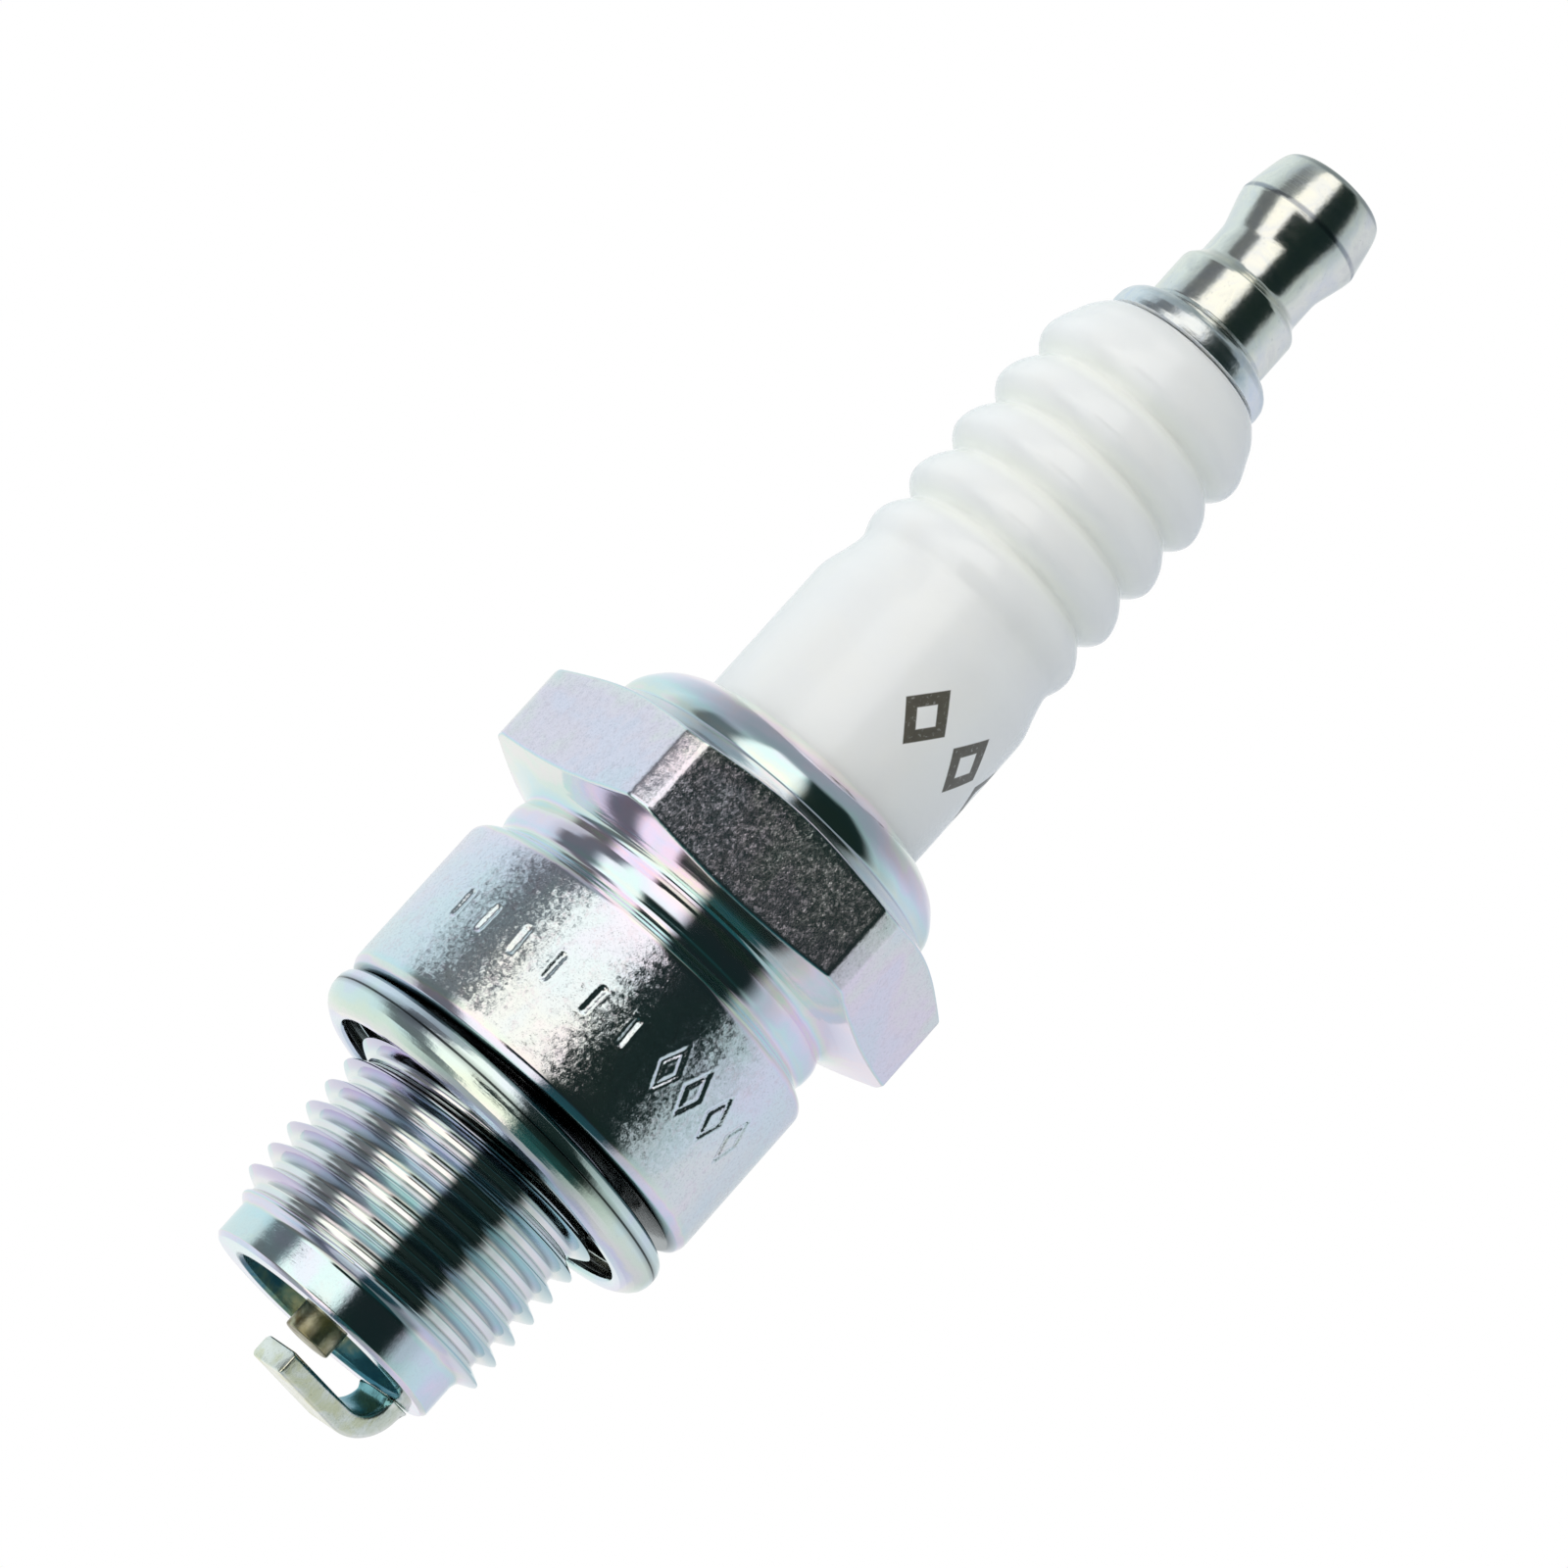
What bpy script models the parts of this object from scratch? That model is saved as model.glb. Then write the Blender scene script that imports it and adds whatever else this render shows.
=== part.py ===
"""Spark plug: M14 x 1.25 thread, 12.7 mm reach, 20.8 mm hexagon, screw-on terminal nut.

Units are metres.  +Z runs up the plug's axis, from the ground electrode to the
terminal.  The origin is on the axis, level with the underside of the ground
electrode, and the seat plane of the shell lies SEAT_Z above it.  Heights below
are written in millimetres above the seat plane, and up() turns one into metres.
"""
import math

import bmesh
import bpy
from mathutils import Matrix, Vector

MM = 0.001

# ---- driving dimensions, in millimetres ----------------------------------------
REACH = 12.7               # seat plane to the end of the threaded shell

STRAP_WIDTH = 2.5
STRAP_THICKNESS = 1.15
STRAP_TOP = -14.35         # face towards the centre electrode
STRAP_UNDERSIDE = STRAP_TOP - STRAP_THICKNESS
STRAP_ANGLE = 32.0         # where its foot stands on the rim, degrees from +X
STRAP_PAST_AXIS = 0.85
STRAP_FOOT_R = 5.30
STRAP_BEND_R = 1.30        # inside the bend
STRAP_ROUNDING = 0.16
WELD_GAP = 0.04            # the foot is welded; the two solids stay this far apart

SEAT_Z = -STRAP_UNDERSIDE  # seat plane above the origin

THREAD_MAJOR_R = 6.95      # M14 x 1.25
THREAD_MINOR_R = 6.18
THREAD_PITCH = 1.25
THREAD_LOW = -10.86        # the thread starts above the plain end ring
THREAD_TURNS = 7.0         # and runs out below the relief
THREAD_CORE_R = 5.95       # body under the thread
THREAD_SUNK_R = 5.72       # the thread's ends, below the surface of the body
THREAD_SLEEVE_R = 5.30     # inside of the threaded sleeve
END_RING_R = 6.05
RELIEF_R = 6.12
BORE_R = 4.55              # bore round the insulator's nose

BARREL_R = 9.63
NECK_R = 8.72
HEX_ACROSS_FLATS = 20.8
HEX_CORNER_R = 11.60       # the corners are rolled round
HEX_LOW = 12.05
HEX_HIGH = 15.95
HEX_CUTTER_R = 17.0
HEX_CUTTER_LOW = 10.9
HEX_CUTTER_HIGH = 18.7
COLLAR_R = 8.86
CRIMP_LIP_R = 6.32
BIG_BORE_R = 7.15          # bore round the insulator's widest part
MID_BORE_R = 5.15
LEDGE_R = 4.15             # ledge that carries the insulator
LEDGE_LOW = -4.5
LEDGE_HIGH = -3.0

INSULATOR_R = 6.05         # smooth body above the shell
INSULATOR_TOP = 46.0
RIB_R = 5.80
RIB_GROOVE_R = 4.86
RIB_PITCH = 3.0
RIB_COUNT = 3
RIB_POINTS = 8             # profile points per rib
RIB_LEAN = 0.86            # below 1 moves the crest down from the middle
RIB_SHARPNESS = 0.62       # below 1 narrows the grooves and fills out the crest
RIB_LOW = 33.0             # lowest of the deep grooves; a shallow one lies below it
SHALLOW_GROOVE_R = 5.48
SHALLOW_GROOVE = 30.1
INSULATOR_WIDE_R = 6.95
INSULATOR_STEM_R = 4.90
NOSE_TIP_R = 2.35
NOSE_TIP = -11.9
STUD_BORE_R = 2.05
STUD_BORE_CHAMFER = 0.18
ELECTRODE_BORE_R = 1.36
SEAT_CONE_GAP = 0.50       # between the ledge's cone and the insulator's
WASHER_CLEARANCE = 0.07    # on either face of the washer in that gap
WASHER_SPAN = (0.14, 0.84)  # radial distances of its edges outside the ledge

PACKING_MID_R = (INSULATOR_R + BIG_BORE_R) / 2
PACKING_HALF = (BIG_BORE_R - INSULATOR_R) / 2 - 0.07  # half the width, with clearance
UPPER_RING = 18.20         # heights of the two wire rings
LOWER_RING = 14.20
TALC_GAP = 0.06            # between the talc and either ring

CENTRE_ELECTRODE_R = 1.18
CENTRE_ELECTRODE_TIP = -13.55
CENTRE_ELECTRODE_CHAMFER = 0.08
CENTRE_ELECTRODE_HEAD_R = 1.84
CENTRE_ELECTRODE_HEAD = 2.00
COPPER_R = 0.60
COPPER_GAP = 0.06          # between the core and the wall of its cavity

GASKET_R = 9.65
GASKET_INNER_R = 6.62
GASKET_OPENING_R = 8.15
GASKET_TOP = -0.35
GASKET_BOTTOM = -2.42
GASKET_PLY = 0.56

FLANGE_R = 4.26
FLANGE_LOW = 46.10
FLANGE_HIGH = 47.55
STUD_SHANK_R = 1.80
STUD_GRIP_R = 1.62
STUD_GROOVE_COUNT = 3
STUD_GROOVE_PITCH = 0.50
STUD_GROOVE_DEPTH = 0.14
STUD_THREAD_R = 1.94       # M4
STUD_THREAD_ROOT_R = 1.64
STUD_THREAD_CORE_R = 1.55
STUD_THREAD_SUNK_R = 1.46
STUD_THREAD_SLEEVE_R = 1.20
STUD_THREAD_PITCH = 0.70
STUD_THREAD_LOW = 47.85
STUD_THREAD_TURNS = 8.25
STUD_TOP = 53.90
STUD_CHAMFER = 0.25
STUD_END = 6.40            # grooved end, held in the glass

GLASS_LOW = 2.15
GLASS_HIGH = 8.20
GLASS_R = STUD_BORE_R - 0.06
GLASS_SOCKET_R = STUD_GRIP_R + 0.10

NUT_COLLAR_R = 3.24
NUT_WAIST_R = 2.75
NUT_HEAD_R = 3.27
NUT_LOW = 47.72
NUT_TOP = 57.15
NUT_BORE_R = 2.12
NUT_CHAMFER = 0.16

TURN_STEPS = 32            # facets round every turned piece
FINE_STEPS = 24            # facets round the slim inner pieces
STUD_THREAD_STEPS = 12
THREAD_ROWS = 4            # rows of points per pitch of a thread
THREAD_ROOT_SHARE = 0.22   # flat root and crest of a thread, as shares of its pitch
THREAD_CREST_SHARE = 0.16
THREAD_FADE = 0.55         # length of a thread's run-out, in pitches
THREAD_MERGE = 5e-7        # points of a thread this close are one, in metres


# ---- helpers -------------------------------------------------------------------
def up(height):
    """A height above the seat plane, in millimetres, as a world z in metres."""
    return (SEAT_Z + height) * MM


def new_collection(name):
    made = bpy.data.collections.new(name)
    bpy.context.scene.collection.children.link(made)
    return made


def material(name, colour, roughness, metallic=1.0):
    made = bpy.data.materials.new(name)
    made.use_nodes = True
    shader = made.node_tree.nodes["Principled BSDF"]
    shader.inputs["Base Color"].default_value = (*colour, 1.0)
    shader.inputs["Roughness"].default_value = roughness
    shader.inputs["Metallic"].default_value = metallic
    made.diffuse_color = (*colour, 1.0)
    return made


def finish(obj, surface, sharp=35.0):
    """Puts a finished piece in the plug's collection, shaded smooth."""
    obj.data.materials.append(surface)
    parts.objects.link(obj)
    obj.data.shade_smooth()
    obj.data.set_sharp_from_angle(angle=math.radians(sharp))
    return obj


def as_cutter(obj):
    """Keeps a boolean's operand out of the render."""
    cutters.objects.link(obj)
    obj.hide_render = True
    obj.display_type = "WIRE"
    return obj


def turned(name, profile, steps=TURN_STEPS, closed=True):
    """A turned body, from the (radius, height) points of its profile.  A closed
    profile is a loop; an open one starts and ends on the axis."""
    mesh = bpy.data.meshes.new(name)
    points = [(radius * MM, 0.0, up(z)) for radius, z in profile]
    edges = [(i, i + 1) for i in range(len(points) - 1)]
    if closed:
        edges.append((len(points) - 1, 0))
    mesh.from_pydata(points, edges, [])
    obj = bpy.data.objects.new(name, mesh)
    screw = obj.modifiers.new("turn", "SCREW")
    screw.axis = "Z"
    screw.angle = math.tau
    screw.steps = steps
    screw.render_steps = steps
    screw.use_merge_vertices = True
    screw.merge_threshold = 0.000001
    screw.use_smooth_shade = True
    return obj


def arc(centre_x, centre_z, radius, start, end, count):
    """Points of an arc in the profile plane; angles in degrees, 0 is outwards."""
    found = []
    for i in range(count + 1):
        angle = math.radians(start + (end - start) * i / count)
        found.append((centre_x + radius * math.cos(angle), centre_z + radius * math.sin(angle)))
    return found


def thread_radius(phase, minor, major):
    """Radius of a rolled V thread at a phase of 0..1 through its pitch."""
    phase %= 1.0
    half_root = THREAD_ROOT_SHARE / 2.0
    flank = (1.0 - THREAD_ROOT_SHARE - THREAD_CREST_SHARE) / 2.0
    crest_start = half_root + flank
    crest_end = crest_start + THREAD_CREST_SHARE
    if phase < half_root or phase > 1.0 - half_root:
        return minor
    if phase < crest_start:
        return minor + (major - minor) * (phase - half_root) / flank
    if phase < crest_end:
        return major
    return major - (major - minor) * (phase - crest_end) / flank


def threaded_sleeve(name, low, turns, pitch, minor, major, inner, sunk, steps):
    """A closed sleeve with a right-hand helical thread outside.

    Each ring of points is skewed along the helix, so that a row follows a crest
    or a root, and points past either end are pressed flat onto it.  The thread
    fades to the radius sunk at both ends, below the surface that it joins."""
    built = bmesh.new()
    high = low + turns * pitch
    fade = pitch * THREAD_FADE
    grid = []
    for row in range(-THREAD_ROWS - 1, math.ceil(turns * THREAD_ROWS) + 2):
        full_radius = thread_radius(row / THREAD_ROWS, minor, major)
        ring = []
        for column in range(steps + 1):
            turn = column / steps
            z = min(max(low + (row / THREAD_ROWS + turn) * pitch, low), high)
            share = min(1.0, max(0.0, min(z - low, high - z) / fade))
            radius = (sunk + (full_radius - sunk) * share) * MM
            angle = math.tau * turn
            ring.append(built.verts.new(
                (radius * math.cos(angle), radius * math.sin(angle), up(z))))
        grid.append(ring)
    for lower, upper in zip(grid, grid[1:]):
        for i in range(steps):
            built.faces.new((lower[i], lower[i + 1], upper[i + 1], upper[i]))
    # a row ends where the row one pitch above it starts, so the seam closes here
    bmesh.ops.remove_doubles(built, verts=built.verts, dist=THREAD_MERGE)
    bmesh.ops.dissolve_degenerate(built, edges=built.edges, dist=THREAD_MERGE)
    # both rims are drawn in to the inner radius, then joined by the inner wall
    rims = [edge for edge in built.edges if edge.is_boundary]
    extruded = bmesh.ops.extrude_edge_only(built, edges=rims)["geom"]
    for item in extruded:
        if isinstance(item, bmesh.types.BMVert):
            flat = Vector((item.co.x, item.co.y)).normalized() * inner * MM
            item.co.x, item.co.y = flat.x, flat.y
    rims = [edge for edge in built.edges if edge.is_boundary]
    bmesh.ops.bridge_loops(built, edges=rims)
    bmesh.ops.triangulate(built, faces=built.faces)
    bmesh.ops.recalc_face_normals(built, faces=built.faces)
    mesh = bpy.data.meshes.new(name)
    built.to_mesh(mesh)
    built.free()
    return bpy.data.objects.new(name, mesh)


def boolean(obj, other, operation):
    step = obj.modifiers.new(operation.lower(), "BOOLEAN")
    step.operation = operation
    step.solver = "EXACT"
    step.object = other


def marker(name, height):
    """An empty on the axis of a joint, which carries the moving piece."""
    made = bpy.data.objects.new(name, None)
    made.location = (0.0, 0.0, up(height))
    made.empty_display_size = 0.004
    parts.objects.link(made)
    return made


def hang_on(obj, holder):
    """Parents a piece to a marker without moving it."""
    obj.parent = holder
    obj.matrix_parent_inverse = Matrix.Translation(holder.location).inverted()


# ---- metal shell -----------------------------------------------------------------
def build_metal_shell():
    # from the crimped lip, down the outside, and back up through the stepped bore
    shell = turned("metal_shell", [
        (CRIMP_LIP_R + 0.08, 19.96), (6.62, 19.90), (7.06, 19.72), (7.56, 19.45),
        (8.02, 19.12), (8.38, 18.76), (8.64, 18.34), (COLLAR_R - 0.07, 18.02),
        (COLLAR_R, 17.75), (COLLAR_R, 17.35), (COLLAR_R + 0.14, 17.18), (10.45, 16.42),
        (HEX_CORNER_R, HEX_HIGH), (HEX_CORNER_R, HEX_LOW), (10.40, 11.78),
        (9.55, 11.50), (9.02, 11.20), (8.76, 10.95),
        (NECK_R - 0.05, 10.75), (NECK_R + 0.06, 10.20), (NECK_R + 0.06, 9.60),
        (NECK_R - 0.02, 9.15), (NECK_R + 0.26, 8.80),
        (BARREL_R - 0.12, 8.45), (BARREL_R, 8.15),
        (BARREL_R, 0.50), (BARREL_R - 0.16, 0.22), (9.10, 0.0),
        (RELIEF_R, 0.0), (RELIEF_R, -1.85), (THREAD_CORE_R, -2.20),
        (THREAD_CORE_R, -10.90), (END_RING_R, -10.98), (END_RING_R, 0.20 - REACH),
        (END_RING_R - 0.20, -REACH), (BORE_R + 0.12, -REACH), (BORE_R, 0.12 - REACH),
        (BORE_R, LEDGE_LOW - 0.4), (LEDGE_R, LEDGE_LOW), (LEDGE_R, LEDGE_HIGH),
        (MID_BORE_R, LEDGE_HIGH + MID_BORE_R - LEDGE_R), (MID_BORE_R, 2.40),
        (BIG_BORE_R, 4.10), (BIG_BORE_R, 18.45), (7.00, 18.76), (6.62, 18.96),
        (CRIMP_LIP_R, 19.02), (CRIMP_LIP_R, 19.88),
    ])
    # a six-sided ring leaves the hexagon's flats and its rolled corners
    hex_corner = HEX_ACROSS_FLATS / 2 / math.cos(math.radians(30))
    hex_cutter = as_cutter(turned("hex_cutter", [
        (HEX_CUTTER_R, HEX_CUTTER_HIGH), (HEX_CUTTER_R, HEX_CUTTER_LOW),
        (hex_corner, HEX_CUTTER_LOW), (hex_corner, HEX_CUTTER_HIGH),
    ], steps=6))
    thread = as_cutter(threaded_sleeve(
        "shell_thread", low=THREAD_LOW, turns=THREAD_TURNS, pitch=THREAD_PITCH,
        minor=THREAD_MINOR_R, major=THREAD_MAJOR_R,
        inner=THREAD_SLEEVE_R, sunk=THREAD_SUNK_R, steps=TURN_STEPS,
    ))
    boolean(shell, hex_cutter, "DIFFERENCE")
    boolean(shell, thread, "UNION")
    finish(shell, zinc)


# ---- insulator -------------------------------------------------------------------
def rib(groove_below):
    """One rounded rib, from its upper groove down.  The grooves are narrow, and
    the crest sits a little below the middle."""
    found = []
    for i in range(RIB_POINTS):
        rise = 1.0 - i / RIB_POINTS
        swell = abs(math.sin(math.pi * rise ** RIB_LEAN)) ** RIB_SHARPNESS
        radius = RIB_GROOVE_R + (RIB_R - RIB_GROOVE_R) * swell
        found.append((radius, groove_below + RIB_PITCH * rise))
    return found


def on_ledge_cone(along, off):
    """A point along the ledge's 45-degree cone, standing off it towards the
    insulator; along is measured radially."""
    lean = off * math.sqrt(0.5)
    return LEDGE_R + along - lean, LEDGE_HIGH + along + lean


def build_insulator():
    cone_foot = on_ledge_cone(0.0, SEAT_CONE_GAP)
    cone_top = cone_foot[1] + INSULATOR_STEM_R - cone_foot[0]
    # rounded top, down to the first groove
    profile = [
        (STUD_BORE_R + STUD_BORE_CHAMFER, INSULATOR_TOP), (3.95, INSULATOR_TOP),
        (4.36, 45.85), (4.72, 45.45), (5.03, 45.00), (5.28, 44.45), (5.50, 43.95),
        (5.65, 43.45), (5.68, 43.05), (5.58, 42.70), (5.28, 42.33),
    ]
    for i in reversed(range(RIB_COUNT)):
        profile += rib(RIB_LOW + RIB_PITCH * i)
    # shallow groove, smooth body, nose, and back up the bore
    profile += [
        (RIB_GROOVE_R + 0.06, RIB_LOW), (5.30, 32.55), (5.58, 32.10), (5.75, 31.60),
        (5.78, 31.20), (5.70, 30.80), (5.55, 30.42), (SHALLOW_GROOVE_R, SHALLOW_GROOVE),
        (5.56, 29.60), (5.76, 28.80), (5.94, 28.25), (6.03, 27.75), (INSULATOR_R, 27.20),
        (INSULATOR_R, 13.90), (INSULATOR_WIDE_R, 13.00), (INSULATOR_WIDE_R, 4.60),
        (INSULATOR_STEM_R, 2.90), (INSULATOR_STEM_R, cone_top), cone_foot,
        (NOSE_TIP_R, NOSE_TIP + 0.35), (NOSE_TIP_R - 0.30, NOSE_TIP),
        (ELECTRODE_BORE_R + 0.12, NOSE_TIP), (ELECTRODE_BORE_R, NOSE_TIP + 0.14),
        (ELECTRODE_BORE_R, 0.30), (STUD_BORE_R, 1.00),
        (STUD_BORE_R, INSULATOR_TOP - STUD_BORE_CHAMFER),
    ]
    finish(turned("insulator", profile), glaze, sharp=50.0)


# ---- packing between the insulator and the shell ------------------------------------
def build_wire_ring(name, height):
    # the closing edge makes the eighth side of the wire's section
    section = arc(PACKING_MID_R, height, PACKING_HALF, 157.5, -157.5, 7)
    finish(turned(name, section), ring_steel)


def build_talc_fill():
    inner = PACKING_MID_R - PACKING_HALF
    outer = PACKING_MID_R + PACKING_HALF
    high = UPPER_RING - PACKING_HALF - TALC_GAP
    low = LOWER_RING + PACKING_HALF + TALC_GAP
    finish(turned("talc_fill", [(inner, high), (outer, high), (outer, low), (inner, low)]), talc)


def build_inner_seat_washer():
    start, end = WASHER_SPAN
    near = WASHER_CLEARANCE
    far = SEAT_CONE_GAP - WASHER_CLEARANCE
    finish(turned("inner_seat_washer", [
        on_ledge_cone(end, far), on_ledge_cone(end, near),
        on_ledge_cone(start, near), on_ledge_cone(start, far),
    ]), ring_steel)


# ---- the conductor through the insulator ----------------------------------------------
def build_centre_electrode():
    """Nickel cup, open at the top."""
    cavity = COPPER_R + COPPER_GAP
    finish(turned("centre_electrode", [
        (0.0, -10.60), (cavity, -10.30), (cavity, CENTRE_ELECTRODE_HEAD - 0.06),
        (cavity + 0.06, CENTRE_ELECTRODE_HEAD),
        (CENTRE_ELECTRODE_HEAD_R - 0.12, CENTRE_ELECTRODE_HEAD),
        (CENTRE_ELECTRODE_HEAD_R, CENTRE_ELECTRODE_HEAD - 0.12),
        (CENTRE_ELECTRODE_HEAD_R, 1.25), (CENTRE_ELECTRODE_R, 0.58),
        (CENTRE_ELECTRODE_R, CENTRE_ELECTRODE_TIP + CENTRE_ELECTRODE_CHAMFER),
        (CENTRE_ELECTRODE_R - CENTRE_ELECTRODE_CHAMFER, CENTRE_ELECTRODE_TIP),
        (0.0, CENTRE_ELECTRODE_TIP),
    ], steps=FINE_STEPS, closed=False), nickel)


def build_copper_core():
    """Core inside the nickel cup."""
    finish(turned("copper_core", [
        (0.0, 1.92), (COPPER_R, 1.92), (COPPER_R, -10.20), (0.0, -10.45),
    ], steps=FINE_STEPS, closed=False), copper)


def build_glass_seal():
    """Conductive glass, melted round the grooved end of the stud."""
    finish(turned("glass_seal", [
        (0.0, STUD_END - 0.14), (STUD_GRIP_R - 0.16, STUD_END - 0.10),
        (GLASS_SOCKET_R, STUD_END + 0.20), (GLASS_SOCKET_R, GLASS_HIGH),
        (GLASS_R, GLASS_HIGH), (GLASS_R, GLASS_LOW), (0.0, GLASS_LOW),
    ], closed=False), glass)


def build_terminal_stud():
    """M4 end, round flange above the ceramic, plain shank, grooved end."""
    grooves = []
    for i in range(STUD_GROOVE_COUNT):
        z = GLASS_HIGH - 0.25 - STUD_GROOVE_PITCH * i
        floor = STUD_GRIP_R - STUD_GROOVE_DEPTH
        grooves += [(STUD_GRIP_R, z), (floor, z - 0.12), (floor, z - 0.25),
                    (STUD_GRIP_R, z - 0.37)]
    stud = turned("terminal_stud", [
        (0.0, STUD_TOP), (STUD_THREAD_CORE_R - STUD_CHAMFER, STUD_TOP),
        (STUD_THREAD_CORE_R, STUD_TOP - STUD_CHAMFER), (STUD_THREAD_CORE_R, FLANGE_HIGH),
        (3.30, FLANGE_HIGH), (3.72, FLANGE_HIGH - 0.14), (4.05, FLANGE_HIGH - 0.42),
        (FLANGE_R - 0.04, FLANGE_HIGH - 0.78), (FLANGE_R, FLANGE_HIGH - 1.10),
        (FLANGE_R - 0.06, FLANGE_LOW + 0.12), (FLANGE_R - 0.22, FLANGE_LOW),
        (STUD_SHANK_R, FLANGE_LOW), (STUD_SHANK_R, GLASS_HIGH + 0.40),
        (STUD_GRIP_R, GLASS_HIGH + 0.18),
        *grooves,
        (STUD_GRIP_R, STUD_END + 0.22), (STUD_GRIP_R - 0.22, STUD_END), (0.0, STUD_END),
    ], steps=FINE_STEPS, closed=False)
    thread = as_cutter(threaded_sleeve(
        "stud_thread", low=STUD_THREAD_LOW, turns=STUD_THREAD_TURNS,
        pitch=STUD_THREAD_PITCH, minor=STUD_THREAD_ROOT_R, major=STUD_THREAD_R,
        inner=STUD_THREAD_SLEEVE_R, sunk=STUD_THREAD_SUNK_R, steps=STUD_THREAD_STEPS,
    ))
    boolean(stud, thread, "UNION")
    finish(stud, stud_steel)


# ---- pieces carried by markers -----------------------------------------------------------
def build_terminal_nut(holder):
    """Nut screwed on the stud: from its top, down the outside, and up the blind bore."""
    nut = finish(turned("terminal_nut", [
        (0.0, NUT_TOP), (2.25, NUT_TOP), (2.58, NUT_TOP - 0.12), (2.80, NUT_TOP - 0.40),
        (2.94, 56.25), (3.08, 55.60), (3.18, 54.95), (NUT_HEAD_R, 54.48), (3.22, 54.12),
        (3.08, 53.60), (2.93, 53.05), (2.79, 52.60), (NUT_WAIST_R, 52.25),
        (NUT_WAIST_R, 50.88), (2.84, 50.62), (3.00, 50.42), (3.18, 50.20),
        (NUT_COLLAR_R, 50.04), (NUT_COLLAR_R, NUT_LOW + NUT_CHAMFER),
        (NUT_COLLAR_R - NUT_CHAMFER, NUT_LOW), (NUT_BORE_R + NUT_CHAMFER, NUT_LOW),
        (NUT_BORE_R, NUT_LOW + NUT_CHAMFER), (NUT_BORE_R, 54.60), (0.0, 55.60),
    ], closed=False), bright)
    hang_on(nut, holder)


def build_gasket(holder):
    """Folded sheet-metal ring, captive above the thread: round the outside of the
    fold from its top, and back along the inside."""
    ply_under = GASKET_TOP - GASKET_PLY
    gasket = finish(turned("gasket", [
        (GASKET_INNER_R, GASKET_TOP), (9.12, GASKET_TOP), (9.44, GASKET_TOP - 0.16),
        (9.61, GASKET_TOP - 0.48), (GASKET_R, GASKET_TOP - 0.88), (9.62, GASKET_TOP - 1.28),
        (9.46, GASKET_TOP - 1.66), (9.18, GASKET_TOP - 1.92), (8.80, GASKET_BOTTOM),
        (GASKET_OPENING_R + 0.20, GASKET_BOTTOM), (GASKET_OPENING_R, GASKET_BOTTOM + 0.22),
        (GASKET_OPENING_R + 0.10, GASKET_BOTTOM + 0.50), (8.86, GASKET_BOTTOM + GASKET_PLY),
        (9.03, -1.48), (9.03, -1.16), (8.86, ply_under),
        (GASKET_INNER_R + 0.10, ply_under), (GASKET_INNER_R, ply_under + 0.12),
    ]), gasket_metal)
    hang_on(gasket, holder)


# ---- ground electrode ----------------------------------------------------------------------
def strap_side():
    """(x, height) points of the strap's side, from the foot's outer edge round to
    its inner edge."""
    inner_x = STRAP_FOOT_R - STRAP_THICKNESS / 2
    outer_x = STRAP_FOOT_R + STRAP_THICKNESS / 2
    foot = -REACH - WELD_GAP
    bend = (inner_x - STRAP_BEND_R, STRAP_TOP + STRAP_BEND_R)
    return [
        (outer_x, foot),
        *arc(*bend, STRAP_BEND_R + STRAP_THICKNESS, 0.0, -90.0, 8),
        (-STRAP_PAST_AXIS, STRAP_UNDERSIDE), (-STRAP_PAST_AXIS, STRAP_TOP),
        *arc(*bend, STRAP_BEND_R, -90.0, 0.0, 6),
        (inner_x, foot),
    ]


def extruded_strap():
    """The strap's side as a filled curve, thickened to its width and meshed."""
    outline = bpy.data.curves.new("ground_electrode", "CURVE")
    outline.dimensions = "2D"
    outline.fill_mode = "BOTH"
    outline.extrude = STRAP_WIDTH / 2 * MM
    side = strap_side()
    spline = outline.splines.new("POLY")
    spline.points.add(len(side) - 1)
    spline.use_cyclic_u = True
    for point, (x, z) in zip(spline.points, side):
        point.co = (x * MM, z * MM, 0.0, 1.0)
    flat_strap = bpy.data.objects.new("strap_outline", outline)
    parts.objects.link(flat_strap)
    bpy.context.view_layer.update()
    evaluated = flat_strap.evaluated_get(bpy.context.evaluated_depsgraph_get())
    mesh = bpy.data.meshes.new_from_object(evaluated)
    bpy.data.objects.remove(flat_strap, do_unlink=True)
    return mesh


def build_ground_electrode():
    """A strap welded to the rim and bent over the centre electrode's tip."""
    mesh = extruded_strap()
    lift = Matrix.Translation((0.0, 0.0, SEAT_Z * MM))
    swing = Matrix.Rotation(math.radians(STRAP_ANGLE), 4, "Z")
    stand_up = Matrix.Rotation(math.radians(90.0), 4, "X")
    mesh.transform(lift @ swing @ stand_up)
    # the curve's caps and walls come unjoined
    joined = bmesh.new()
    joined.from_mesh(mesh)
    bmesh.ops.remove_doubles(joined, verts=joined.verts, dist=1e-7)
    bmesh.ops.recalc_face_normals(joined, faces=joined.faces)
    joined.to_mesh(mesh)
    joined.free()
    strap = bpy.data.objects.new("ground_electrode", mesh)
    rounded = strap.modifiers.new("rounded", "BEVEL")
    rounded.width = STRAP_ROUNDING * MM
    rounded.segments = 2
    rounded.limit_method = "ANGLE"
    rounded.angle_limit = math.radians(40.0)
    finish(strap, strap_metal)


# ---- scene and materials -------------------------------------------------------------------
for old in list(bpy.data.objects):
    bpy.data.objects.remove(old, do_unlink=True)
parts = new_collection("spark_plug")
cutters = new_collection("cutters")

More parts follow.
